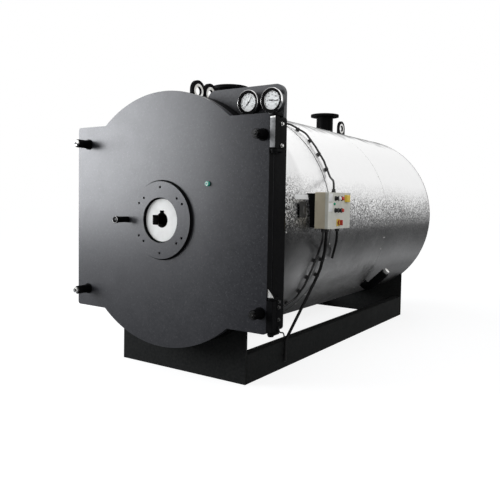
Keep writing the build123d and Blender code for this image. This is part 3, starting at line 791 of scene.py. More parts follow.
def bent_about(point: Vector) -> Matrix:
    """Frame on the boiler's axis, whose own angles go up from the right side."""
    return Matrix.Translation(point) @ Matrix.Rotation(math.pi / 2, 4, "X")


@dataclass(frozen=True)
class Box:
    """Space that a node or one of its solids takes up."""

    low: Vector
    high: Vector

    @classmethod
    def of(cls, node: str) -> "Box":
        """Box of a node."""
        return cls(*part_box(node))

    @classmethod
    def round(cls, points: np.ndarray) -> "Box":
        """Box round a cloud of points."""
        return cls(Vector(points.min(axis=0)), Vector(points.max(axis=0)))

    @property
    def size(self) -> Vector:
        """Width, length and height."""
        return self.high - self.low

    @property
    def middle(self) -> Vector:
        """Middle of the box."""
        return (self.low + self.high) / 2

    @property
    def radius(self) -> float:
        """Half of the width."""
        return (self.high.x - self.low.x) / 2

    @property
    def half_height(self) -> float:
        """Half of the height."""
        return (self.high.z - self.low.z) / 2

    def at(self, y: float) -> Vector:
        """Point in the middle of the width and height, at a place along the boiler."""
        return Vector((self.middle.x, y, self.middle.z))


def points_of(node: str) -> np.ndarray:
    """All points of a node's mesh."""
    return np.array([vert.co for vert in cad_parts[node].data.vertices])


def islands(node: str) -> list[np.ndarray]:
    """Points of each separate solid in a node.

    Args:
        node: Name of the node.

    Returns:
        One array of points for each solid.
    """
    bm = bmesh.new()
    bm.from_mesh(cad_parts[node].data)
    bmesh.ops.remove_doubles(bm, verts=bm.verts, dist=SAME)
    left = dict.fromkeys(bm.verts)
    groups = []
    while left:
        todo = [left.popitem()[0]]
        found = []
        while todo:
            vert = todo.pop()
            found.append(tuple(vert.co))
            for edge in vert.link_edges:
                other = edge.other_vert(vert)
                if other in left:
                    del left[other]
                    todo.append(other)
        groups.append(np.array(found))
    bm.free()
    return groups


@dataclass
class Sculptor:
    """Collects small solids in one mesh and turns them into a piece that rides on a body."""

    name: str
    body: Body
    material: bpy.types.Material
    slot: str
    sharp_angle: float = 35.0
    bead_sides: int = 6
    ripple: float = 0.12
    ripple_step: float = 2.4

    def __post_init__(self) -> None:
        """Start an empty mesh."""
        self.bm = bmesh.new()

    def ring(self, points: Sequence[Vector]) -> list[bmesh.types.BMVert]:
        """Add a ring of points that isn't joined to anything yet."""
        return [self.bm.verts.new(point) for point in points]

    def bridge(self, one: list[bmesh.types.BMVert], two: list[bmesh.types.BMVert], shift: int = 0) -> None:
        """Join two rings with faces; either ring may be a single point.

        Args:
            one: First ring.
            two: Second ring.
            shift: Which point of the second ring meets the first point of the first one.
        """
        sides = max(len(one), len(two))
        for i in range(sides):
            j = (i + 1) % sides
            if len(one) == 1:
                corners = (one[0], two[i], two[j])
            elif len(two) == 1:
                corners = (one[i], one[j], two[0])
            else:
                corners = (one[i], one[j], two[(j + shift) % sides], two[(i + shift) % sides])
            self.bm.faces.new(corners)

    def turned(self, place: Matrix, profile: Profile, sides: int = 32) -> None:
        """Add a solid of revolution about the place's own Z axis.

        Args:
            place: Where the solid stands.
            profile: Radius and height of each ring, from bottom to top.
            sides: Number of sides.
        """
        rings = []
        for radius, rise in profile:
            angles = turns(sides) if radius else [0.0]
            spots = [Vector((radius * math.cos(t), radius * math.sin(t), rise)) for t in angles]
            rings.append(self.ring([place @ spot for spot in spots]))
        for low, high in zip(rings, rings[1:]):
            self.bridge(low, high)

    def hexagon(self, place: Matrix, across: float, rise: float) -> None:
        """Add a hexagon head with a turned-down top.

        Args:
            place: Where the head stands.
            across: Width across flats.
            rise: Height of the head.
        """
        corner = across / math.sqrt(3)
        self.turned(place, pin(corner, 0.0, 0.82 * rise, rise, 0.86 * corner), sides=6)

    def bolt(self, place: Matrix, across: float) -> None:
        """Add a washer with a hexagon head on it.

        Args:
            place: Where the washer lies.
            across: Width across flats of the head.
        """
        washer_r, washer_t, head = 0.72 * across, 0.1 * across, 0.62 * across
        self.turned(place, disc(washer_r, 0.0, washer_t), sides=24)
        self.hexagon(place @ Matrix.Translation((0, 0, washer_t)), across, head)

    def rivet(self, place: Matrix, radius: float, dome: float = 0.55) -> None:
        """Add a low dome head, whose height is a share of its radius.

        Args:
            place: Where the head lies.
            radius: Its radius.
            dome: The share.
        """
        rise = dome * radius
        profile = [(radius * math.cos(turn), rise * math.sin(turn)) for turn in (0.0, 0.5, 1.0)]
        self.turned(place, profile + [(0.0, rise)], sides=12)

    def slab(self, low: Vector, high: Vector, round_off: float = 0.0) -> None:
        """Add a box between two corners with its edges rounded.

        Args:
            low: Lowest corner.
            high: Highest corner.
            round_off: Radius of the edges.
        """
        box = Box(low, high)
        made = bmesh.ops.create_cube(self.bm, size=1.0)
        for vert in made["verts"]:
            vert.co = Vector(a * b for a, b in zip(vert.co, box.size)) + box.middle
        if round_off:
            edges = list({edge for vert in made["verts"] for edge in vert.link_edges})
            bmesh.ops.bevel(self.bm, geom=edges, offset=round_off, segments=3, affect="EDGES", profile=0.5)

    def plate(self, outline: Sequence[Vector], push: Vector) -> None:
        """Add a flat plate.

        Args:
            outline: Corners in order.
            push: Thickness and direction.
        """
        face = self.bm.faces.new(self.ring(outline))
        made = bmesh.ops.extrude_face_region(self.bm, geom=[face])
        verts = [part for part in made["geom"] if isinstance(part, bmesh.types.BMVert)]
        bmesh.ops.translate(self.bm, verts=verts, vec=push)

    def hoop(self, place: Matrix, radius: float, thickness: float, width: float, angles: Span,
             steps: int) -> None:
        """Add a bent strip of even thickness about the place's own Z axis.

        Args:
            place: Middle of the bend.
            radius: Inner radius.
            thickness: Thickness of the strip.
            width: Width along the axis.
            angles: First and last angle in radians.
            steps: Number of straight parts.
        """
        start, end = angles
        corners = band(radius, radius + thickness, -width / 2, width / 2)[:4]
        loops = []
        for step in range(steps + 1):
            turn = start + (end - start) * step / steps
            loops.append(self.ring([place @ Vector((reach * math.cos(turn), reach * math.sin(turn), rise))
                                    for reach, rise in corners]))
        for one, two in zip(loops, loops[1:]):
            self.bridge(one, two)
        self.bm.faces.new(loops[0])
        self.bm.faces.new(reversed(loops[-1]))

    def bead(self, points: Sequence[Vector], radius: float, closed: bool = False) -> None:
        """Add a rounded bead with ripples along a line, as a weld leaves it.

        Args:
            points: The line.
            radius: Size of the bead.
            closed: Whether the line closes on itself.
        """
        loops = []
        last = len(points) - 1
        for index, point in enumerate(points):
            before = points[index - 1] if index or closed else point
            after = points[(index + 1) % len(points)] if index < last or closed else point
            along = (after - before).normalized()
            side = along.orthogonal().normalized()
            across = along.cross(side)
            swell = radius * (1.0 + self.ripple * math.sin(self.ripple_step * index))
            loops.append(self.ring([point + swell * (math.cos(t) * side + math.sin(t) * across)
                                    for t in turns(self.bead_sides)]))
        pairs = list(zip(loops, loops[1:]))
        if closed:
            pairs.append((loops[-1], loops[0]))
        for one, two in pairs:
            shift = min(range(self.bead_sides), key=lambda step: (two[step].co - one[0].co).length)
            self.bridge(one, two, shift)
        if not closed:
            self.bm.faces.new(reversed(loops[0]))
            self.bm.faces.new(loops[-1])

    def cast(self) -> bpy.types.Object:
        """Turn the collected solids into a piece.

        Returns:
            The piece.
        """
        bmesh.ops.recalc_face_normals(self.bm, faces=self.bm.faces)
        mesh = bpy.data.meshes.new(self.name)
        self.bm.to_mesh(mesh)
        self.bm.free()
        mesh.materials.append(self.material)
        mesh.polygons.foreach_set("use_smooth", [True] * len(mesh.polygons))
        mesh.set_sharp_from_angle(angle=math.radians(self.sharp_angle))
        piece = bpy.data.objects.new(self.name, mesh)
        bpy.context.scene.collection.objects.link(piece)
        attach(piece, self.body.value)
        LOG.info("piece %s: %d faces", self.name, len(mesh.polygons))
        return piece


@dataclass
class SubAssembly:
    """What every sub-assembly has: the finishes and the body that its pieces ride on."""

    finishes: Finishes
    body: Body = Body.BOILER

    def piece(self, name: str, finish: str, slot: str | None = None, body: Body | None = None) -> Sculptor:
        """Start a piece.

        Args:
            name: Name of the piece.
            finish: Name of its finish.
            slot: Name for its slot, where that isn't named like the finish; the piece keeps it and nothing
                uses it.
            body: Its body, where that isn't the sub-assembly's.

        Returns:
            The piece's empty mesh.
        """
        return Sculptor(name, body or self.body, self.finishes.materials[finish], slot or finish)


@dataclass
class FrontDoor(SubAssembly):
    """Hinged front door with burner ring, sight tube, test plug and clamps.

    Rim, glass and collar shapes pair shares of a radius with heights in metres.
    """

    body: Body = Body.DOOR
    rim_shape: Profile = ((0.84, 0.0), (0.86, 0.003), (0.92, 0.004), (0.98, 0.002), (0.98, 0.0), (0.84, 0.0))
    rim_in: float = 0.001
    glass_r: float = 0.0125
    glass_shape: Profile = ((1.0, 0.0), (1.0, 0.008), (0.6, 0.011), (0.0, 0.012))
    glass_in: float = 0.014
    facing_t: float = 0.03
    nut_washer_r: float = 0.027
    nut_washer_t: float = 0.0035
    thread_shape: Profile = ((0.0121, -0.001), (0.0127, 0.0), (0.0121, 0.001))
    thread_in: float = 0.0015
    thread_pitch: float = 0.002
    threads: int = 4
    sleeve_r: float = 0.03
    sleeve_more: float = 0.028
    sleeve_chamfer: float = 0.002
    sleeve_tip: float = 0.93
    nut_across: float = 0.044
    nut_h: float = 0.02
    stud_shape: tuple[float, ...] = (0.012, 0.019, 0.025, 0.027, 0.0105)
    weld_r: float = 0.0065
    # Thickness of the black coat of painted shade on the burner ring.
    shade_coat_t: float = 0.0006
    bore_back: float = 0.001
    rim_back: float = 0.002
    rope_w: float = 0.008
    rope_h: float = 0.01
    rope_proud: float = 0.0006
    rope_play: float = 0.0002
    collar_shape: Profile = ((0.5, -0.001), (0.5, 0.002), (0.72, 0.003), (0.8, 0.0), (0.5, -0.001))
    strip_t: float = 0.0006
    strip_inset: float = 0.003
    strip_reach: float = 0.64
    knuckle_edge: float = 0.004
    knuckle_t: float = 0.0008
    knuckle_round: float = 0.0003
    tip_h: float = 0.012
    tip_drops: Span = (0.002, 0.006)

    def build(self) -> None:
        """Dress the door and add its small pieces."""
        coat = self.finishes.coat
        coat("door_paint", "door_plate", "burner_ring")
        coat("refractory", "door_lining")
        coat("fibre_board", "burner_plug")
        coat("frame_paint", "sight_tube", "clamp_sleeves", "door_hinges")
        coat("plug_paint", "test_plug")
        coat("clamp_steel", "clamp_nuts")
        self.sight_glass()
        self.plug_facing()
        self.clamp_washers()
        self.long_clamps()
        self.ring_weld_and_shade()
        self.ring_shade()
        self.plug_collar()
        self.edge_shade_strip()
        self.knuckle_highlight()

    def sight_glass(self) -> None:
        """Bright rim round the sight tube's mouth and a dark glass in its bore."""
        tube = Box.of("sight_tube")
        mouth = tube.at(tube.low.y)
        rim = self.piece("sight_tube_rim", "chrome", "bright_steel")
        rim.turned(stand(mouth + Vector((0, self.rim_in, 0)), Facing.FRONT),
                   sized(tube.radius, self.rim_shape), sides=36)
        rim.cast()
        glass = self.piece("sight_tube_glass", "gauge_black")
        glass.turned(stand(mouth + Vector((0, self.glass_in, 0)), Facing.FRONT),
                     sized(self.glass_r, self.glass_shape), sides=28)
        glass.cast()

    def plug_facing(self) -> None:
        """Second board of the same outline in front of the burner plug."""
        low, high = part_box("burner_plug")
        board = self.piece("plug_facing", "fibre_board")
        board.bm.from_mesh(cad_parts["burner_plug"].data)
        for vert in board.bm.verts:
            vert.co.y = low.y - self.facing_t * (high.y - vert.co.y) / (high.y - low.y)
        board.cast()

    def clamp_washers(self) -> None:
        """Washer under each clamp nut and thread ridges on each stud."""
        washers = self.piece("clamp_washers", "clamp_steel", "bright_steel")
        washer = disc(self.nut_washer_r, 0.0, self.nut_washer_t)
        for nut in map(Box.round, islands("clamp_nuts")):
            washers.turned(stand(nut.at(nut.high.y), Facing.FRONT), washer, sides=36)
            for ridge in range(self.threads):
                tip = nut.at(nut.low.y + self.thread_in + self.thread_pitch * ridge)
                washers.turned(stand(tip, Facing.FRONT), self.thread_shape, sides=28)
        washers.cast()

    def long_clamps(self) -> None:
        """Longer sleeves with their own nuts on the two clamps away from the hinges."""
        sleeves = self.piece("long_sleeves", "frame_paint")
        nuts = self.piece("long_nuts", "bright_steel")
        studs = self.piece("long_studs", "dull_steel", "bright_steel")
        sleeve = pin(self.sleeve_r, 0.0, self.sleeve_more - self.sleeve_chamfer, self.sleeve_more,
                     self.sleeve_tip * self.sleeve_r)
        bodies = sorted(islands("clamp_sleeves"), key=lambda points: points[:, 0].min())
        for clamp in map(Box.round, bodies[:2]):
            seat = clamp.at(clamp.low.y)
            sleeves.turned(stand(seat, Facing.FRONT), sleeve, sides=40)
            end = stand(seat - Vector((0, self.sleeve_more, 0)), Facing.FRONT)
            nuts.hexagon(end, self.nut_across, self.nut_h)
            studs.turned(end, pin(*self.stud_shape), sides=24)
        for piece in (sleeves, nuts, studs):
            piece.cast()

    def ring_weld_and_shade(self) -> None:
        """Black weld bead where the burner ring meets the door, which also paints the shadow beside the ring.
        """
        ring = Box.of("burner_ring")
        radius = ring.radius + self.weld_r / 2
        centre = ring.at(ring.high.y - self.weld_r / 2)
        weld = self.piece("burner_ring_weld_and_shade", "frame_paint")
        weld.bead([centre + radius * around(turn) for turn in turns(180)], self.weld_r, closed=True)
        weld.cast()

    def ring_shade(self) -> None:
        """Black coat in the burner ring's bore and round its outer edge, a painted shade, and a black rope
        that seals the plug and paints the shade of the gap.
        """
        ring = Box.of("burner_ring")
        centre = ring.at(ring.high.y)
        points = points_of("burner_ring")
        reaches = np.hypot(points[:, 0] - centre.x, points[:, 2] - centre.z)
        bore, rim = float(reaches.min()), float(reaches.max())
        rise = ring.high.y - ring.low.y
        deep = ring.high.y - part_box("burner_plug")[0].y + self.facing_t
        coat = self.piece("burner_ring_shade", "frame_paint")
        rope = band(bore - self.rope_w, bore - self.rope_play, deep - self.rope_h, deep + self.rope_proud)
        # Painted shade: black coats on the bore and the outer edge, and the black rope in the gap.
        for coated in (band(bore - self.shade_coat_t, bore, deep, rise - self.bore_back), rope,
                       band(rim, rim + self.shade_coat_t, 0.0, rise - self.rim_back)):
            coat.turned(stand(centre, Facing.FRONT), coated, sides=96)
        coat.cast()

    def plug_collar(self) -> None:
        """Pale collar round the test plug's slot."""
        plug = Box.of("test_plug")
        collar = self.piece("test_plug_collar", "cap_white", "dial_white")
        shape = sized(plug.radius, self.collar_shape)
        collar.turned(stand(plug.at(plug.low.y), Facing.FRONT), shape, sides=28)
        collar.cast()

    def edge_shade_strip(self) -> None:
        """Black strip on the door's right side face, which paints the shade of that face."""
        low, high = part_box("door_plate")
        middle = (low.z + high.z) / 2
        strip = self.piece("edge_shade_strip", "frame_paint")
        strip.slab(Vector((high.x, low.y + self.strip_inset, middle - self.strip_reach)),
                   Vector((high.x + self.strip_t, high.y - self.strip_inset, middle + self.strip_reach)))
        strip.cast()

    def knuckle_highlight(self) -> None:
        """Grey front of the upper hinge knuckle, a painted highlight, with its bright upper end."""
        knuckle = Box.round(max(islands("door_hinges"), key=lambda points: points[:, 2].max()))
        front, top = knuckle.low.y, knuckle.high.z
        centre = sum(corner.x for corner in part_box("hinge_pins")) / 2
        right = knuckle.high.x - self.knuckle_edge
        left = 2 * centre - right
        face = self.piece("knuckle_highlight", "hinge_steel")
        face.slab(Vector((left, front - self.knuckle_t, knuckle.low.z + self.knuckle_edge)),
                  Vector((right, front, top - self.tip_h)), self.knuckle_round)
        face.cast()
        tip = self.piece("knuckle_tip", "bright_steel")
        right_drop, left_drop = self.tip_drops
        corners = ((left, self.tip_h), (right, self.tip_h), (right, right_drop), (left, left_drop))
        tip.plate([Vector((x, front, top - drop)) for x, drop in corners], Vector((0, -self.knuckle_t, 0)))
        tip.cast()


@dataclass
class FrontFrame(SubAssembly):
    """Deep front frame with its hinges and pins."""

    bolt_across: float = 0.017
    bolt_y: float = 0.059
    leaf_t: float = 0.012
    upper_bolts: tuple[float, ...] = (0.062, -0.071)
    lower_bolts: tuple[float, ...] = (0.074, 0.038, -0.04)
    gusset_h: float = 0.053
    gusset_t: float = 0.0006

    def build(self) -> None:
        """Dress the frame and bolt the hinge leaves on."""
        self.finishes.coat("frame_paint", "front_frame", "frame_hinges", "hinge_pins")
        self.hinge_bolts()
        self.gusset_face()

    def hinge_bolts(self) -> None:
        """Hexagon bolts on both hinge leaves: two on the upper one, three on the lower one in dull steel as
        painted shade.
        """
        low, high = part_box("front_frame")
        lower, upper = sorted(islands("door_hinges"), key=lambda points: points[:, 2].min())
        # The lower bolts are dull steel where the upper ones are bright: painted shade on the lower hinge.
        for name, finish, points, rises in (("upper_bolts", "bright_steel", upper, self.upper_bolts),
                                            ("lower_bolts", "dull_steel", lower, self.lower_bolts)):
            middle = Box.round(points).middle.z
            bolts = self.piece(name, finish, "bright_steel")
            for rise in rises:
                spot = Vector((high.x + self.leaf_t, low.y + self.bolt_y, middle + rise))
                bolts.bolt(stand(spot, Facing.RIGHT), self.bolt_across)
            bolts.cast()

    def gusset_face(self) -> None:
        """Bare face of the small gusset on the lower hinge."""
        points = min(islands("frame_hinges"), key=lambda points: points[:, 2].min())
        tip = points[:, 2].max()
        front = points[points[:, 2] > tip - SAME][:, 1].min()
        face = points[(np.abs(points[:, 1] - front) < SAME) & (points[:, 2] > tip - self.gusset_h)]
        left, right, foot = face[:, 0].min(), face[:, 0].max(), face[:, 2].min()
        corners = ((left, foot), (right, foot), (left, tip))
        plate = self.piece("gusset_face", "bright_steel")
        plate.plate([Vector((x, front, z)) for x, z in corners], Vector((0, -self.gusset_t, 0)))
        plate.cast()


@dataclass(frozen=True)
class GaugeFace:
    """One dial: what its scale shows and where the pointer stands."""

    highest: int
    step: int
    pointer_deg: float


@dataclass
class GaugePanel(SubAssembly):
    """Panel on the frame's shoulder with two dial gauges.

    Rim and lip shapes pair shares of the bezel's radius with heights in metres. Reaches on the dial are
    shares of its visible radius, and half widths are in metres.
    """

    faces: tuple[GaugeFace, GaugeFace] = (GaugeFace(10, 1, 38.0), GaugeFace(120, 20, 97.0))
    rim_shape: Profile = ((0.955, 0.0), (0.955, 0.002), (0.98, 0.005), (1.01, 0.003), (1.03, -0.004),
                          (1.005, -0.012))
    lip_shape: Profile = ((0.845, -0.0035), (0.955, 0.0012), (0.78, 0.0012), (0.75, -0.0035),
                          (0.845, -0.0035))
    well_reach: float = 0.838
    well_mouth: float = 0.78
    well_foot: float = 0.765
    well_in: float = 0.0075
    well_play: float = 0.0008
    round_sides: int = 64
    sweep_deg: float = 270.0
    ticks: int = 50
    long_every: int = 5
    long_tick: Span = (0.78, 0.0011)
    short_tick: Span = (0.86, 0.0005)
    tick_end: float = 0.94
    figure_reach: float = 0.6
    figure_size: float = 0.0125
    mark_lift: float = 0.0006
    mark_t: float = 0.0004
    tail: tuple[Span, Span] = ((-0.42, 0.02), (0.0038, 0.0028))
    needle: tuple[Span, Span] = ((0.0, 0.8), (0.003, 0.001))
    pointer_lift: float = 0.0032
    hub_shape: Profile = ((0.0055, 0.0), (0.0055, 0.004), (0.0035, 0.0046), (0.0, 0.0046))

    def build(self) -> None:
        """Dress the panel and draw both dials."""
        coat = self.finishes.coat
        coat("panel_paint", "gauge_panel")
        coat("gauge_black", "gauge_cases")
        coat("dial_white", "gauge_dials")
        coat("gauge_glass", "gauge_glasses")
        dials, cases = Box.of("gauge_dials"), Box.of("gauge_cases")
        bezel = cases.half_height
        rims = self.piece("gauge_rims", "chrome", "bright_steel")
        wells = self.piece("gauge_wells", "well_black", "gauge_black")
        marks = self.piece("gauge_marks", "dial_ink", "gauge_black")
        for x, face in zip((dials.low.x + dials.half_height, dials.high.x - dials.half_height), self.faces):
            centre = Vector((x, dials.low.y, dials.middle.z))
            place = stand(Vector((x, cases.low.y, centre.z)), Facing.FRONT)
            floor = cases.low.y - centre.y + self.well_play
            well = ((self.well_reach, -self.well_in), (self.well_mouth, -self.well_in),
                    (self.well_foot, floor), (self.well_reach, floor), (self.well_reach, -self.well_in))
            rims.turned(place, sized(bezel, self.rim_shape), self.round_sides)
            wells.turned(place, sized(bezel, self.lip_shape), self.round_sides)
            wells.turned(place, sized(bezel, well), self.round_sides)
            self.draw_dial(marks, centre, self.well_foot * bezel, face)
        for piece in (rims, wells, marks):
            piece.cast()

    def draw_dial(self, marks: Sculptor, centre: Vector, radius: float, face: GaugeFace) -> None:
        """Draw scale, figures and pointer of one dial.

        Args:
            marks: Mesh that takes the drawing.
            centre: Middle of the dial's face.
            radius: Visible radius of the dial.
            face: Scale and pointer.
        """
        first = -self.sweep_deg / 2
        marked = centre - Vector((0, self.mark_lift, 0))
        for tick in range(self.ticks + 1):
            turn = math.radians(first + self.sweep_deg * tick / self.ticks)
            inner, half = self.short_tick if tick % self.long_every else self.long_tick
            self.stroke(marks, marked, turn, (inner * radius, self.tick_end * radius), (half, half))
        for figure in range(0, face.highest + 1, face.step):
            turn = math.radians(first + self.sweep_deg * figure / face.highest)
            self.figure(marks, str(figure), marked + self.ray(turn, self.figure_reach * radius))
        lifted = centre - Vector((0, self.pointer_lift, 0))
        for (start, end), halves in (self.tail, self.needle):
            turn = math.radians(face.pointer_deg)
            self.stroke(marks, lifted, turn, (start * radius, end * radius), halves)
        marks.turned(stand(centre, Facing.FRONT), self.hub_shape, sides=24)

    @staticmethod
    def ray(turn: float, reach: float) -> Vector:
        """Step from a dial's middle at an angle clockwise from the top, seen from the front."""
        return Vector((reach * math.sin(turn), 0.0, reach * math.cos(turn)))

    def stroke(self, marks: Sculptor, origin: Vector, turn: float, ends: Span, halves: Span) -> None:
        """Add a flat tapered stroke along a ray.

        Args:
            marks: Mesh that takes it.
            origin: Point in front of the dial's middle where its rays start.
            turn: Angle clockwise from the top.
            ends: Distances where it starts and ends.
            halves: Half widths there.
        """
        side = self.ray(turn + math.pi / 2, 1.0)
        near, far = (origin + self.ray(turn, reach) for reach in ends)
        start, end = (half * side for half in halves)
        marks.plate([near - start, near + start, far + end, far - end], Vector((0, self.mark_t, 0)))

    def figure(self, marks: Sculptor, text: str, spot: Vector) -> None:
        """Add a figure of the scale.

        Args:
            marks: Mesh that takes it.
            text: The figure.
            spot: Its middle.
        """
        curve = bpy.data.curves.new("figure", "FONT")
        curve.body = text
        curve.size = self.figure_size
        curve.align_x = "CENTER"
        curve.align_y = "CENTER"
        holder = bpy.data.objects.new("figure", curve)
        bpy.context.scene.collection.objects.link(holder)
        bpy.context.view_layer.update()
        mesh = bpy.data.meshes.new_from_object(holder.evaluated_get(bpy.context.evaluated_depsgraph_get()))
        mesh.transform(bent_about(spot))
        marks.bm.from_mesh(mesh)
        bpy.data.objects.remove(holder)
        bpy.data.meshes.remove(mesh)


@dataclass
class CladShell(SubAssembly):
    """Round body: embossed cladding with its seams, vessel and what lies inside."""

    courses: tuple[str, str, str] = ("cladding_front", "cladding_middle", "cladding_rear")
    screw_r: float = 0.0055
    screw_count: int = 48
    seam_inset: float = 0.014
    bead_w: float = 0.007
    bead_t: float = 0.001
    lap_deg: float = 205.0
    lap_w: float = 0.03
    lap_t: float = 0.0012
    lap_short: float = 0.08

    def __post_init__(self) -> None:
        """Read the boxes of the courses."""
        self.front, self.middle, self.rear = (Box.of(node) for node in self.courses)

    def build(self) -> None:
        """Dress the shell, screw the seams down and paint a shadow line along them."""
        coat = self.finishes.coat
        coat("stucco_aluminium", *self.courses)
        coat("mineral_wool", "insulation", "rear_insulation")
        coat("boiler_steel", "front_tube_plate", "rear_tube_plate", "smoke_tubes", "furnace_tube",
             "furnace_end", "pressure_shell")
        self.seam_screws()
        self.seam_shade_beads()
        self.flank_seam()

    def seam_screws(self) -> None:
        """Screws round both seams and both ends."""
        screws = self.piece("cladding_screws", "bright_steel")
        for course, y in ((self.middle, self.middle.low.y + self.seam_inset),
                          (self.middle, self.middle.high.y - self.seam_inset),
                          (self.front, self.front.low.y + self.seam_inset),
                          (self.rear, self.rear.high.y - self.seam_inset)):
            for turn in turns(self.screw_count, ahead=0.5):
                out = around(turn)
                screws.rivet(stand(self.middle.at(y) + course.radius * out, out), self.screw_r)
        screws.cast()

    def seam_shade_beads(self) -> None:
        """Dark band round each seam between two courses and round the rear end: a painted shadow line of each
        lap and of the rear edge.
        """
        beads = self.piece("seam_shade_beads", "seam_shade_grey", "switch_black")
        for course, y in ((self.front, self.middle.low.y - self.bead_w / 2),
                          (self.rear, self.middle.high.y + self.bead_w / 2),
                          (self.rear, self.rear.high.y - self.bead_w)):
            beads.hoop(bent_about(self.middle.at(y)), course.radius + SKIN_PLAY, self.bead_t, self.bead_w,
                       (0.0, 2 * math.pi), steps=144)
        beads.cast()

    def flank_seam(self) -> None:
        """Lengthwise lap of each course, low on the left flank."""
        seam = self.piece("cladding_laps", "stucco_aluminium")
        start = math.radians(self.lap_deg)
        for course in (self.front, self.middle, self.rear):
            angles = (start, start + self.lap_w / course.radius)
            seam.hoop(bent_about(self.middle.at(course.middle.y)), course.radius + SKIN_PLAY, self.lap_t,
                      course.high.y - course.low.y - self.lap_short, angles, steps=4)
        seam.cast()


@dataclass
class TopFittings(SubAssembly):
    """Flanged connections and lifting lugs on the top line."""

    nozzles: tuple[str, str] = ("front_nozzle", "rear_nozzle")
    flange_t: float = 0.025
    flange_zone: float = 0.04
    collar_w: float = 0.028
    collar_play: float = 0.0006
    collar_lifts: tuple[float, ...] = (0.0002, 0.0002, 0.002, 0.006)
    collar_sides: int = 48
    weld_r: float = 0.006
    eye_r: float = 0.032
    eye_play: float = 0.001
    eye_worn: float = 0.02
    eye_t: float = 0.0008

    def build(self) -> None:
        """Dress the fittings and close the cladding round them."""
        self.finishes.coat("frame_paint", *self.nozzles, "lifting_lugs")
        self.neck_collars()
        self.neck_welds()
        self.worn_eyes()

    def neck_radius(self, node: str) -> float:
        """Radius of a connection's neck, read below its flange."""
        points = points_of(node)
        return Box.round(points[points[:, 2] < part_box(node)[1].z - self.flange_zone]).radius

    def neck_collars(self) -> None:
        """Aluminium collars where the necks leave the cladding."""
        collars = self.piece("neck_collars", "stucco_aluminium")
        for node in self.nozzles:
            neck = self.neck_radius(node)
            self.saddle_ring(collars, Box.of(node).middle.y, neck + self.collar_play, neck + self.collar_w)
        collars.cast()

    def saddle_ring(self, mesh: Sculptor, y: float, inner: float, outer: float) -> None:
        """Add a flat ring bent over the round skin.

        Args:
            mesh: Mesh that takes it.
            y: Middle of the ring along the axis.
            inner: Inner radius of the ring.
            outer: Outer radius of the ring.
        """
        skin = Box.of("cladding_middle")
        loops = []
        for turn in turns(self.collar_sides):
            spots = []
            for reach, lift in zip((inner, outer, outer, inner), self.collar_lifts):
                x = reach * math.cos(turn)
                top = math.sqrt(skin.radius ** 2 - x ** 2) + lift
                spots.append(skin.at(y) + Vector((x, reach * math.sin(turn), top)))
            loops.append(mesh.ring(spots))
        for one, two in zip(loops, loops[1:] + loops[:1]):
            mesh.bridge(one, two)

    def neck_welds(self) -> None:
        """Weld beads under both flanges."""
        welds = self.piece("flange_welds", "frame_paint")
        for node in self.nozzles:
            nozzle = Box.of(node)
            neck = self.neck_radius(node) + self.weld_r / 3
            centre = nozzle.at(nozzle.middle.y)
            centre.z = nozzle.high.z - self.flange_t - self.weld_r / 2
            welds.bead([centre + neck * Vector((math.cos(turn), math.sin(turn), 0)) for turn in turns(96)],
                       self.weld_r, closed=True)
        welds.cast()

    def worn_eyes(self) -> None:
        """Bright worn face round each lug's eye, on both sides."""
        faces = self.piece("worn_eyes", "bright_steel")
        face = band(self.eye_r + self.eye_play, self.eye_r + self.eye_worn, 0.0, self.eye_t)
        for lug in map(Box.round, islands("lifting_lugs")):
            eye_z = lug.high.z - (lug.high.y - lug.low.y) / 2
            for x, facing in ((lug.low.x, Facing.LEFT), (lug.high.x, Facing.RIGHT)):
                faces.turned(stand(Vector((x, lug.middle.y, eye_z)), facing), face, sides=40)
        faces.cast()


class Cap(Enum):
    """Kinds of operator on the control box's lid, with their finishes."""

    SELECTOR = "switch_black"
    WHITE = "cap_white"
    RED = "cap_red"
    STOP = "isolator_yellow"


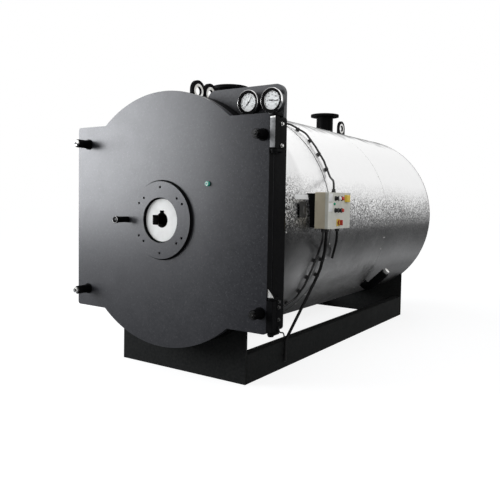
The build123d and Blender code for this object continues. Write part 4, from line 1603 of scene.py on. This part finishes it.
@dataclass
class ControlCabinet(SubAssembly):
    """Control box on the right flank with its lid, operators, labels and isolator.

    Places on the lid are distances from its front edge and its top edge.
    """

    rows: tuple[tuple[Cap, ...], ...] = ((Cap.SELECTOR, Cap.WHITE, Cap.RED, Cap.STOP),
                                         (Cap.SELECTOR, Cap.SELECTOR, Cap.RED))
    bezel_r: float = 0.0165
    bezel_tip: float = 0.9
    bezel_rises: Span = (0.004, 0.0075)
    cap_r: float = 0.0125
    cap_foot: float = 0.007
    cap_shape: Profile = ((0.0, 0.007), (1.06, 0.007), (1.06, 0.016), (0.901, 0.0195), (0.0, 0.0205))
    selector_top: float = 0.012
    selector_grip: Span = (0.011, 0.026)
    selector_half: float = 0.005
    selector_round: float = 0.002
    stop_h: float = 0.024
    stop_round: float = 0.004
    lamp_place: Span = (0.093, 0.078)
    lamp_shape: Profile = ((0.0, 0.0), (0.009, 0.0), (0.009, 0.004), (0.007, 0.008), (0.0035, 0.0105),
                           (0.0, 0.011))
    label_along: Span = (0.008, 0.066)
    label_downs: tuple[Span, Span] = ((0.008, 0.062), (0.074, 0.13))
    label_t: float = 0.0012
    label_round: float = 0.0004
    screw_inset: float = 0.014
    screw_shape: Profile = ((0.0052, 0.0), (0.0052, 0.002), (0.004, 0.003), (0.001, 0.003), (0.0, 0.002))
    field_low: Span = (0.045, 0.022)
    field_high: Span = (0.008, 0.03)
    tag_rivet_r: float = 0.003
    tag_rivet_in: Span = (0.012, 0.014)
    strip_along: Span = (-0.019, 0.185)
    strip_angles: Span = (10.74, 12.95)
    strip_t: float = 0.0016
    gland_reaches: tuple[tuple[str, float], ...] = (("signal_cable", 0.0105), ("burner_cable", 0.0105),
                                                    ("trunk_cable", 0.0145), ("conduit", 0.0125))
    gland_wall: float = 0.0025
    entry_play: float = 1e-3
    gland_shares: tuple[float, float, float] = (1.6, 1.25, 1.05)
    gland_rises: tuple[float, float, float] = (0.008, 0.02, 0.026)
    rim_share: float = 0.9
    grip_h: float = 0.005
    face_reach: float = 0.97
    face_t: float = 0.0008
    face_start_deg: float = 22.0
    face_step_deg: float = 8.0
    face_steps: int = 18

    def build(self) -> None:
        """Dress the box and fit everything on its lid."""
        coat = self.finishes.coat
        coat("box_beige", "control_box")
        coat("lid_grey", "control_lid")
        coat("frame_paint", "control_struts")
        coat("switch_black", "control_switches")
        coat("isolator_yellow", "isolator_plate")
        coat("isolator_red", "isolator_handle")
        coat("tag_metal", "tag_plate")
        self.operators()
        self.labels()
        self.lid_screws()
        self.tag_frame()
        self.pale_strip()
        self.glands()
        self.isolator_face()

    def lid_point(self, along: float, down: float) -> Vector:
        """Point on the lid's outer face, by its distance from the front edge and the top edge."""
        low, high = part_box("control_lid")
        return Vector((high.x, low.y + along, high.z - down))

    def operators(self) -> None:
        """Bezels, knobs and coloured caps, in place of the plain switches."""
        knobs = [Box.round(points) for points in islands("control_switches")]
        knobs.sort(key=lambda knob: knob.low.y)
        middle = sum(knob.middle.z for knob in knobs) / len(knobs)
        upper = [knob for knob in knobs if knob.middle.z > middle]
        lower = [knob for knob in knobs if knob.middle.z <= middle]
        bezels = self.piece("operator_bezels", "switch_black")
        bezel = pin(self.bezel_r, 0.0, *self.bezel_rises, self.bezel_tip * self.bezel_r)
        caps = {cap: self.piece(f"operator_{cap.name.lower()}", cap.value, "switch_black") for cap in Cap}
        for row, kinds in zip((upper, lower), self.rows):
            for knob, cap in zip(row, kinds):
                spot = Vector((knob.low.x, knob.middle.y, knob.middle.z))
                bezels.turned(stand(spot, Facing.RIGHT), bezel)
                self.operator(caps[cap], cap, spot, (knob.high.y - knob.low.y) / 2)
        lamp = self.piece("operator_lamp", "cap_green", "switch_black")
        lamp.turned(stand(self.lid_point(*self.lamp_place), Facing.RIGHT), self.lamp_shape, sides=24)
        lamp.cast()
        piece = bezels.cast()
        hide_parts("control_switches")
        for sculptor in caps.values():
            sculptor.cast()

    def operator(self, mesh: Sculptor, cap: Cap, spot: Vector, half: float) -> None:
        """Add one knob or cap.

        Args:
            mesh: Mesh that takes it.
            cap: Its kind.
            spot: Its middle on the lid.
            half: Half of the plain switch's width.
        """
        place = stand(spot, Facing.RIGHT)
        if cap is Cap.SELECTOR:
            mesh.turned(place, disc(self.cap_r, self.cap_foot, self.selector_top), sides=28)
            foot, top = self.selector_grip
            mesh.slab(spot + Vector((foot, -self.selector_half, -self.cap_r)),
                      spot + Vector((top, self.selector_half, self.cap_r)), self.selector_round)
        elif cap is Cap.STOP:
            mesh.slab(spot + Vector((0.0, -half, -half)), spot + Vector((self.stop_h, half, half)),
                      self.stop_round)
        else:
            mesh.turned(place, sized(self.cap_r, self.cap_shape))

    def labels(self) -> None:
        """Two bare label plates by the lid's front edge."""
        plates = self.piece("label_plates", "cap_white", "dial_white")
        near, far = self.label_along
        for top, bottom in self.label_downs:
            high = self.lid_point(far, top) + Vector((self.label_t, 0, 0))
            plates.slab(self.lid_point(near, bottom), high, self.label_round)
        plates.cast()

    def lid_screws(self) -> None:
        """Quarter-turn screws at the lid's corners."""
        screws = self.piece("lid_screws", "bright_steel")
        low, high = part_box("control_lid")
        inset = self.screw_inset
        for along in (inset, high.y - low.y - inset):
            for down in (inset / 2, high.z - low.z - inset):
                screws.turned(stand(self.lid_point(along, down), Facing.RIGHT), self.screw_shape, sides=20)
        screws.cast()

    def tag_frame(self) -> None:
        """Grey field and rivets of the bare plate beside the box."""
        low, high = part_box("tag_plate")
        rim = self.piece("tag_rim", "dull_steel", "tag_metal")
        (low_y, low_z), (high_y, high_z) = self.field_low, self.field_high
        rim.slab(Vector((high.x, low.y + low_y, low.z + low_z)),
                 Vector((high.x + self.label_t, high.y - high_y, high.z - high_z)), self.label_round)
        in_y, in_z = self.tag_rivet_in
        for y in (low.y + in_y, high.y - in_y):
            rim.rivet(stand(Vector((high.x, y, low.z + in_z)), Facing.RIGHT), self.tag_rivet_r)
        rim.cast()

    def pale_strip(self) -> None:
        """Bare pale strip bent onto the cladding above the small plate."""
        near, far = (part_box("tag_plate")[0].y + along for along in self.strip_along)
        start, end = (math.radians(angle) for angle in self.strip_angles)
        skin = Box.of("cladding_front")
        strip = self.piece("pale_strip", "tag_rim", "tag_metal")
        strip.hoop(bent_about(skin.at((near + far) / 2)), skin.radius + SKIN_PLAY, self.strip_t, far - near,
                   (start, end), steps=4)
        strip.cast()

    def glands(self) -> None:
        """Threaded glands where the cables enter: the signal cable from above, the rest from below."""
        glands = self.piece("cable_glands", "cable_black")
        low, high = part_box("control_box")
        nut_h, waist, top = self.gland_rises
        for cable, reach in self.gland_reaches:
            level, facing = (high.z, Facing.UP) if cable == "signal_cable" else (low.z, Facing.DOWN)
            points = points_of(cable)
            entry = Box.round(points[np.abs(points[:, 2] - level) < self.entry_play]).middle
            place = stand(Vector((entry.x, entry.y, level)), facing)
            inner = reach - self.gland_wall
            nut, body, tip = (share * reach for share in self.gland_shares)
            glands.turned(place, band(inner, nut, 0.0, nut_h)[:4], sides=6)
            cone = [(inner, nut_h), (body, nut_h), (body, waist), (tip, top), (inner, top)]
            glands.turned(place, cone, sides=24)
        glands.cast()

    def isolator_face(self) -> None:
        """Yellow face on the isolator's disc, on both sides of the red grip."""
        points = points_of("isolator_handle")
        handle = Box.round(points)
        centre = handle.middle
        radius = (handle.high.y - handle.low.y) / 2
        reaches = np.hypot(points[:, 1] - centre.y, points[:, 2] - centre.z)
        rim = points[reaches > self.rim_share * radius]
        front = float(rim[rim[:, 0] < handle.high.x - self.grip_h][:, 0].max())
        reach = self.face_reach * radius
        face = self.piece("isolator_face", "isolator_yellow", body=Body.ISOLATOR)
        for side in (0.0, math.pi):
            angles = [side + math.radians(self.face_start_deg + self.face_step_deg * step)
                      for step in range(self.face_steps)]
            face.plate([Vector((front, centre.y + reach * math.sin(turn), centre.z + reach * math.cos(turn)))
                        for turn in angles], Vector((self.face_t, 0, 0)))
        face.cast()


@dataclass
class CableRuns(SubAssembly):
    """Cables on the flank, their clips, and the earth wire that hangs free."""

    clipped: tuple[str, ...] = ("signal_cable", "burner_cable", "trunk_cable")
    clip_t: float = 0.0016
    clip_w: float = 0.013
    clip_deg: Span = (-20.0, 200.0)
    clip_near: float = 0.09
    least_points: int = 6
    nearest_points: int = 24
    earth_r: float = 0.005
    earth_drop: float = 0.045
    earth_rise: float = 0.06

    def build(self) -> None:
        """Dress the cables, clip them down and hang the earth wire."""
        coat = self.finishes.coat
        coat("cable_black", "signal_cable", "burner_cable", "cable_pads")
        coat("hose_black", "trunk_cable", "conduit")
        self.clips()
        self.earth_wire()

    def clips(self) -> None:
        """Bent strip over the cable at each pad."""
        clips = self.piece("cable_clips", "cable_black")
        runs = [points_of(name) for name in self.clipped]
        for pad in islands("cable_pads"):
            middle = (pad.min(axis=0) + pad.max(axis=0)) / 2
            nearest = min(runs, key=lambda points: np.linalg.norm(points - middle, axis=1).min())
            self.clip(clips, nearest, middle)
        clips.cast()

    def clip(self, mesh: Sculptor, cable: np.ndarray, middle: np.ndarray) -> None:
        """Add one clip.

        Args:
            mesh: Mesh that takes it.
            cable: Points of the cable's skin.
            middle: Middle of the pad under the cable.
        """
        steps = np.linalg.norm(cable - middle, axis=1)
        near = cable[steps < self.clip_near]
        if len(near) < self.least_points:
            near = cable[np.argsort(steps)[:self.nearest_points]]
        centre = near.mean(axis=0)
        along = np.linalg.svd(near - centre)[2][0]
        reach = float(np.median(np.linalg.norm(np.cross(near - centre, along), axis=1)))
        on_line = Vector(centre + along * float(np.dot(middle - centre, along)))
        out = (on_line - Vector(middle)).normalized()
        axis = Vector(along)
        place = Matrix((axis.cross(out).normalized(), out, axis)).transposed().to_4x4()
        place.translation = on_line
        start, end = (math.radians(angle) for angle in self.clip_deg)
        mesh.hoop(place, reach + SKIN_PLAY, self.clip_t, self.clip_w, (start, end), steps=16)

    def earth_wire(self) -> None:
        """Wire from the frame's lower right corner to the beam, hanging in a soft curve."""
        low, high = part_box("earth_wire")
        r = self.earth_r
        route = [Vector((high.x - r, low.y + r, high.z)),
                 Vector((high.x - r, low.y + r, high.z - self.earth_drop)),
                 Vector((low.x + r, high.y - r, low.z + self.earth_rise)),
                 Vector((low.x + r, high.y - r, low.z))]
        curve = bpy.data.curves.new("earth_lead", "CURVE")
        curve.dimensions = "3D"
        curve.bevel_depth = 1.0
        curve.bevel_resolution = 4
        curve.resolution_u = 24
        curve.use_fill_caps = True
        spline = curve.splines.new("NURBS")
        spline.points.add(len(route) - 1)
        for point, spot in zip(spline.points, route):
            point.co = (*spot, 1.0)
            point.radius = r
        spline.order_u = 3
        spline.use_endpoint_u = True
        curve.materials.append(self.finishes.materials["cable_black"])
        wire = bpy.data.objects.new("earth_lead", curve)
        bpy.context.scene.collection.objects.link(wire)
        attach(wire, Body.BOILER.value)
        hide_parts("earth_wire")
        length = self.spline_length(wire)
        LOG.info("piece earth_lead: %.3f m", length)

    @staticmethod
    def spline_length(wire: bpy.types.Object) -> float:
        """Length of a curve's own line in metres, read while the curve has no thickness.

        Args:
            wire: The curve.

        Returns:
            The length.
        """
        curve = wire.data
        depth, curve.bevel_depth = curve.bevel_depth, 0.0
        bpy.context.view_layer.update()
        mesh = bpy.data.meshes.new_from_object(wire.evaluated_get(bpy.context.evaluated_depsgraph_get()))
        points = [vert.co.copy() for vert in mesh.vertices]
        curve.bevel_depth = depth
        bpy.data.meshes.remove(mesh)
        return sum((after - before).length for before, after in zip(points, points[1:]))


@dataclass
class BaseSkid(SubAssembly):
    """Saddles and channel beams with their welds, and the drain."""

    weld_r: float = 0.006
    weld_end: float = 0.005
    weld_steps: int = 40

    def build(self) -> None:
        """Dress the base and weld it together."""
        coat = self.finishes.coat
        coat("base_paint", "front_saddle", "rear_saddle", "base_beams")
        coat("frame_paint", "drain_pipe")
        coat("bright_steel", "drain_cap")
        self.corner_welds()

    def corner_welds(self) -> None:
        """Upright weld beads where the beams butt against the saddles."""
        welds = self.piece("base_welds", "base_paint")
        low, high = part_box("base_beams")
        sunk = self.weld_r / 3
        foot, rise = low.z + self.weld_end, high.z - low.z - 2 * self.weld_end
        for x in (low.x + sunk, high.x - sunk):
            for y in (low.y + sunk, high.y - sunk):
                welds.bead([Vector((x, y, foot + rise * step / self.weld_steps))
                            for step in range(self.weld_steps + 1)], self.weld_r)
        welds.cast()


@dataclass
class RearEnd(SubAssembly):
    """Smoke box with its bolted cover and flue spigot."""

    bolt_across: float = 0.024
    bolt_count: int = 24
    rim_inset: float = 0.034

    def build(self) -> None:
        """Dress the rear and bolt its cover on."""
        self.finishes.coat("frame_paint", "smoke_box", "smoke_box_cover", "flue_spigot")
        cover = Box.of("smoke_box_cover")
        reach = cover.radius - self.rim_inset
        bolts = self.piece("cover_bolts", "bright_steel")
        for turn in turns(self.bolt_count, ahead=0.5):
            spot = cover.at(cover.high.y) + reach * around(turn)
            bolts.bolt(stand(spot, Facing.REAR, turn), self.bolt_across)
        bolts.cast()


@dataclass(frozen=True)
class Lamp:
    """A large soft lamp: its place, aim, width and height in metres, power in watts and tint."""

    name: str
    spot: Colour
    aim: Colour
    size: Span
    power: float
    tint: Colour = WHITE

    def hang(self) -> None:
        """Put the lamp in the scene."""
        data = bpy.data.lights.new(self.name, "AREA")
        data.color = self.tint
        data.shape = "RECTANGLE"
        data.size, data.size_y = self.size
        data.energy = self.power
        lamp = bpy.data.objects.new(self.name, data)
        lamp.matrix_world = stand(Vector(self.spot), Vector(self.spot) - Vector(self.aim))
        bpy.context.scene.collection.objects.link(lamp)


@dataclass
class Studio:
    """Pale floor, soft lamps, white surroundings and the camera, whose eye is set from the door's middle."""

    image_px: float = 500.0
    focal_px: float = 577.96
    principal_y_px: float = 228.0
    sensor_mm: float = 36.0
    view_end: float = 200.0
    yaw_deg: float = 33.806
    pitch_deg: float = 2.785
    roll_deg: float = 0.977
    eye: Colour = (2.7037, -2.9517, 0.14875)
    sky: Colour = (0.92, 0.95, 1.0)
    sky_strength: float = 0.32
    floor_grey: float = 0.3
    floor_half: float = 40.0
    floor_in_gloss: float = 0.05
    glow: Span = (0.83, 0.91)
    glow_reach: Span = (2.2, 4.5)
    lamps: tuple[Lamp, ...] = (
        Lamp("key", (-5.5, -4.9, 2.45), (-0.4, -1.75, 1.22), (4.4, 3.4), 560.0, (0.94, 0.96, 1.0)),
        Lamp("overhead", (0.3, 0.6, 6.2), (0.0, 0.3, 1.0), (5.0, 5.0), 80.0),
        Lamp("right", (6.0, -3.4, 3.0), (0.8, -1.2, 1.1), (3.0, 3.0), 125.0),
    )

    def build(self) -> None:
        """Set up the surroundings."""
        bpy.context.scene.view_settings.view_transform = "Standard"
        self.camera()
        self.world()
        self.floor()
        for lamp in self.lamps:
            lamp.hang()

    def camera(self) -> None:
        """Camera at the photograph's place and angle."""
        data = bpy.data.cameras.new("camera")
        data.sensor_width = self.sensor_mm
        data.sensor_fit = "HORIZONTAL"
        data.lens = self.focal_px / self.image_px * self.sensor_mm
        data.shift_y = (self.principal_y_px - self.image_px / 2) / self.image_px
        data.clip_end = self.view_end
        yaw, pitch, roll = (math.radians(angle) for angle in (self.yaw_deg, self.pitch_deg, self.roll_deg))
        level = math.cos(pitch)
        forward = Vector((-math.sin(yaw) * level, math.cos(yaw) * level, -math.sin(pitch)))
        right = Vector((math.cos(yaw), math.sin(yaw), 0.0))
        up = right.cross(forward)
        tilted_right = math.cos(roll) * right + math.sin(roll) * up
        tilted_up = -math.sin(roll) * right + math.cos(roll) * up
        door = Box.of("door_plate")
        camera = bpy.data.objects.new("camera", data)
        place = Matrix((tilted_right, tilted_up, -forward)).transposed().to_4x4()
        place.translation = door.at(door.low.y) + Vector(self.eye)
        camera.matrix_world = place
        bpy.context.scene.collection.objects.link(camera)
        bpy.context.scene.camera = camera

    @staticmethod
    def seen(sheet: NodeSheet, in_gloss: float) -> Socket:
        """Factor for what the camera sees, directly, in gloss and through glass.

        Args:
            sheet: Node tree that takes the nodes.
            in_gloss: Share that gloss shows; the camera and glass show all.

        Returns:
            The factor.
        """
        path = sheet.add("LightPath")
        total = sheet.spread(path.outputs["Is Glossy Ray"], 0.0, in_gloss)
        for name in ("Is Camera Ray", "Is Transmission Ray"):
            total = sheet.calculate(Joining.MOST, total, path.outputs[name])
        return total

    def world(self) -> None:
        """White to the eye, and an even soft light on the object."""
        world = bpy.data.worlds.new("studio")
        bpy.context.scene.world = world
        world.use_nodes = True
        sheet = NodeSheet(world.node_tree)
        light = sheet.add("Background", Color=self.sky, Strength=self.sky_strength)
        white = sheet.add("Background", Color=WHITE, Strength=1.0)
        mix = sheet.add("MixShader")
        for socket, source in zip(mix.inputs, (self.seen(sheet, 1.0), light.outputs[0], white.outputs[0])):
            sheet.feed(socket, source)
        sheet.add("OutputWorld", Surface=mix.outputs[0])

    def floor(self) -> None:
        """Pale floor that keeps the boiler's shadow and turns white away from it."""
        material = bpy.data.materials.new("floor")
        material.use_nodes = True
        sheet = NodeSheet(material.node_tree)
        reach = sheet.add("VectorMath")
        reach.operation = "LENGTH"
        sheet.feed(reach.inputs[0], sheet.add("TexCoord").outputs["Object"])
        away = sheet.spread(reach.outputs["Value"], *self.glow, *self.glow_reach)
        strength = sheet.calculate(Joining.MULTIPLY, self.seen(sheet, self.floor_in_gloss), away)
        matt = sheet.add("BsdfDiffuse", Color=grey(self.floor_grey))
        glow = sheet.add("Emission", Color=WHITE, Strength=strength)
        both = sheet.add("AddShader")
        for socket, shader in zip(both.inputs, (matt, glow)):
            sheet.feed(socket, shader.outputs[0])
        sheet.add("OutputMaterial", Surface=both.outputs[0])
        mesh = bpy.data.meshes.new("floor")
        half = self.floor_half
        corners = [(-half, -half, 0), (half, -half, 0), (half, half, 0), (-half, half, 0)]
        mesh.from_pydata(corners, [], [(0, 1, 2, 3)])
        mesh.materials.append(material)
        floor = bpy.data.objects.new("floor", mesh)
        bpy.context.scene.collection.objects.link(floor)


SUB_ASSEMBLIES = (FrontDoor, FrontFrame, GaugePanel, CladShell, TopFittings, ControlCabinet, CableRuns,
                  BaseSkid, RearEnd)


def write_sizes() -> None:
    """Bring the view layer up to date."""
    bpy.context.view_layer.update()


def main() -> None:
    """Dress the boiler, one sub-assembly after the other."""
    logging.basicConfig(level=logging.INFO, format="%(name)s: %(message)s")
    rim = Box.of("front_frame")
    finishes = Finishes(rim.middle.z, rim.high.y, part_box("cladding_middle")[1].z)
    for part in SUB_ASSEMBLIES:
        LOG.info("sub-assembly %s", part.__name__)
        part(finishes).build()
    Studio().build()
    write_sizes()


if __name__ == "__main__":
    main()
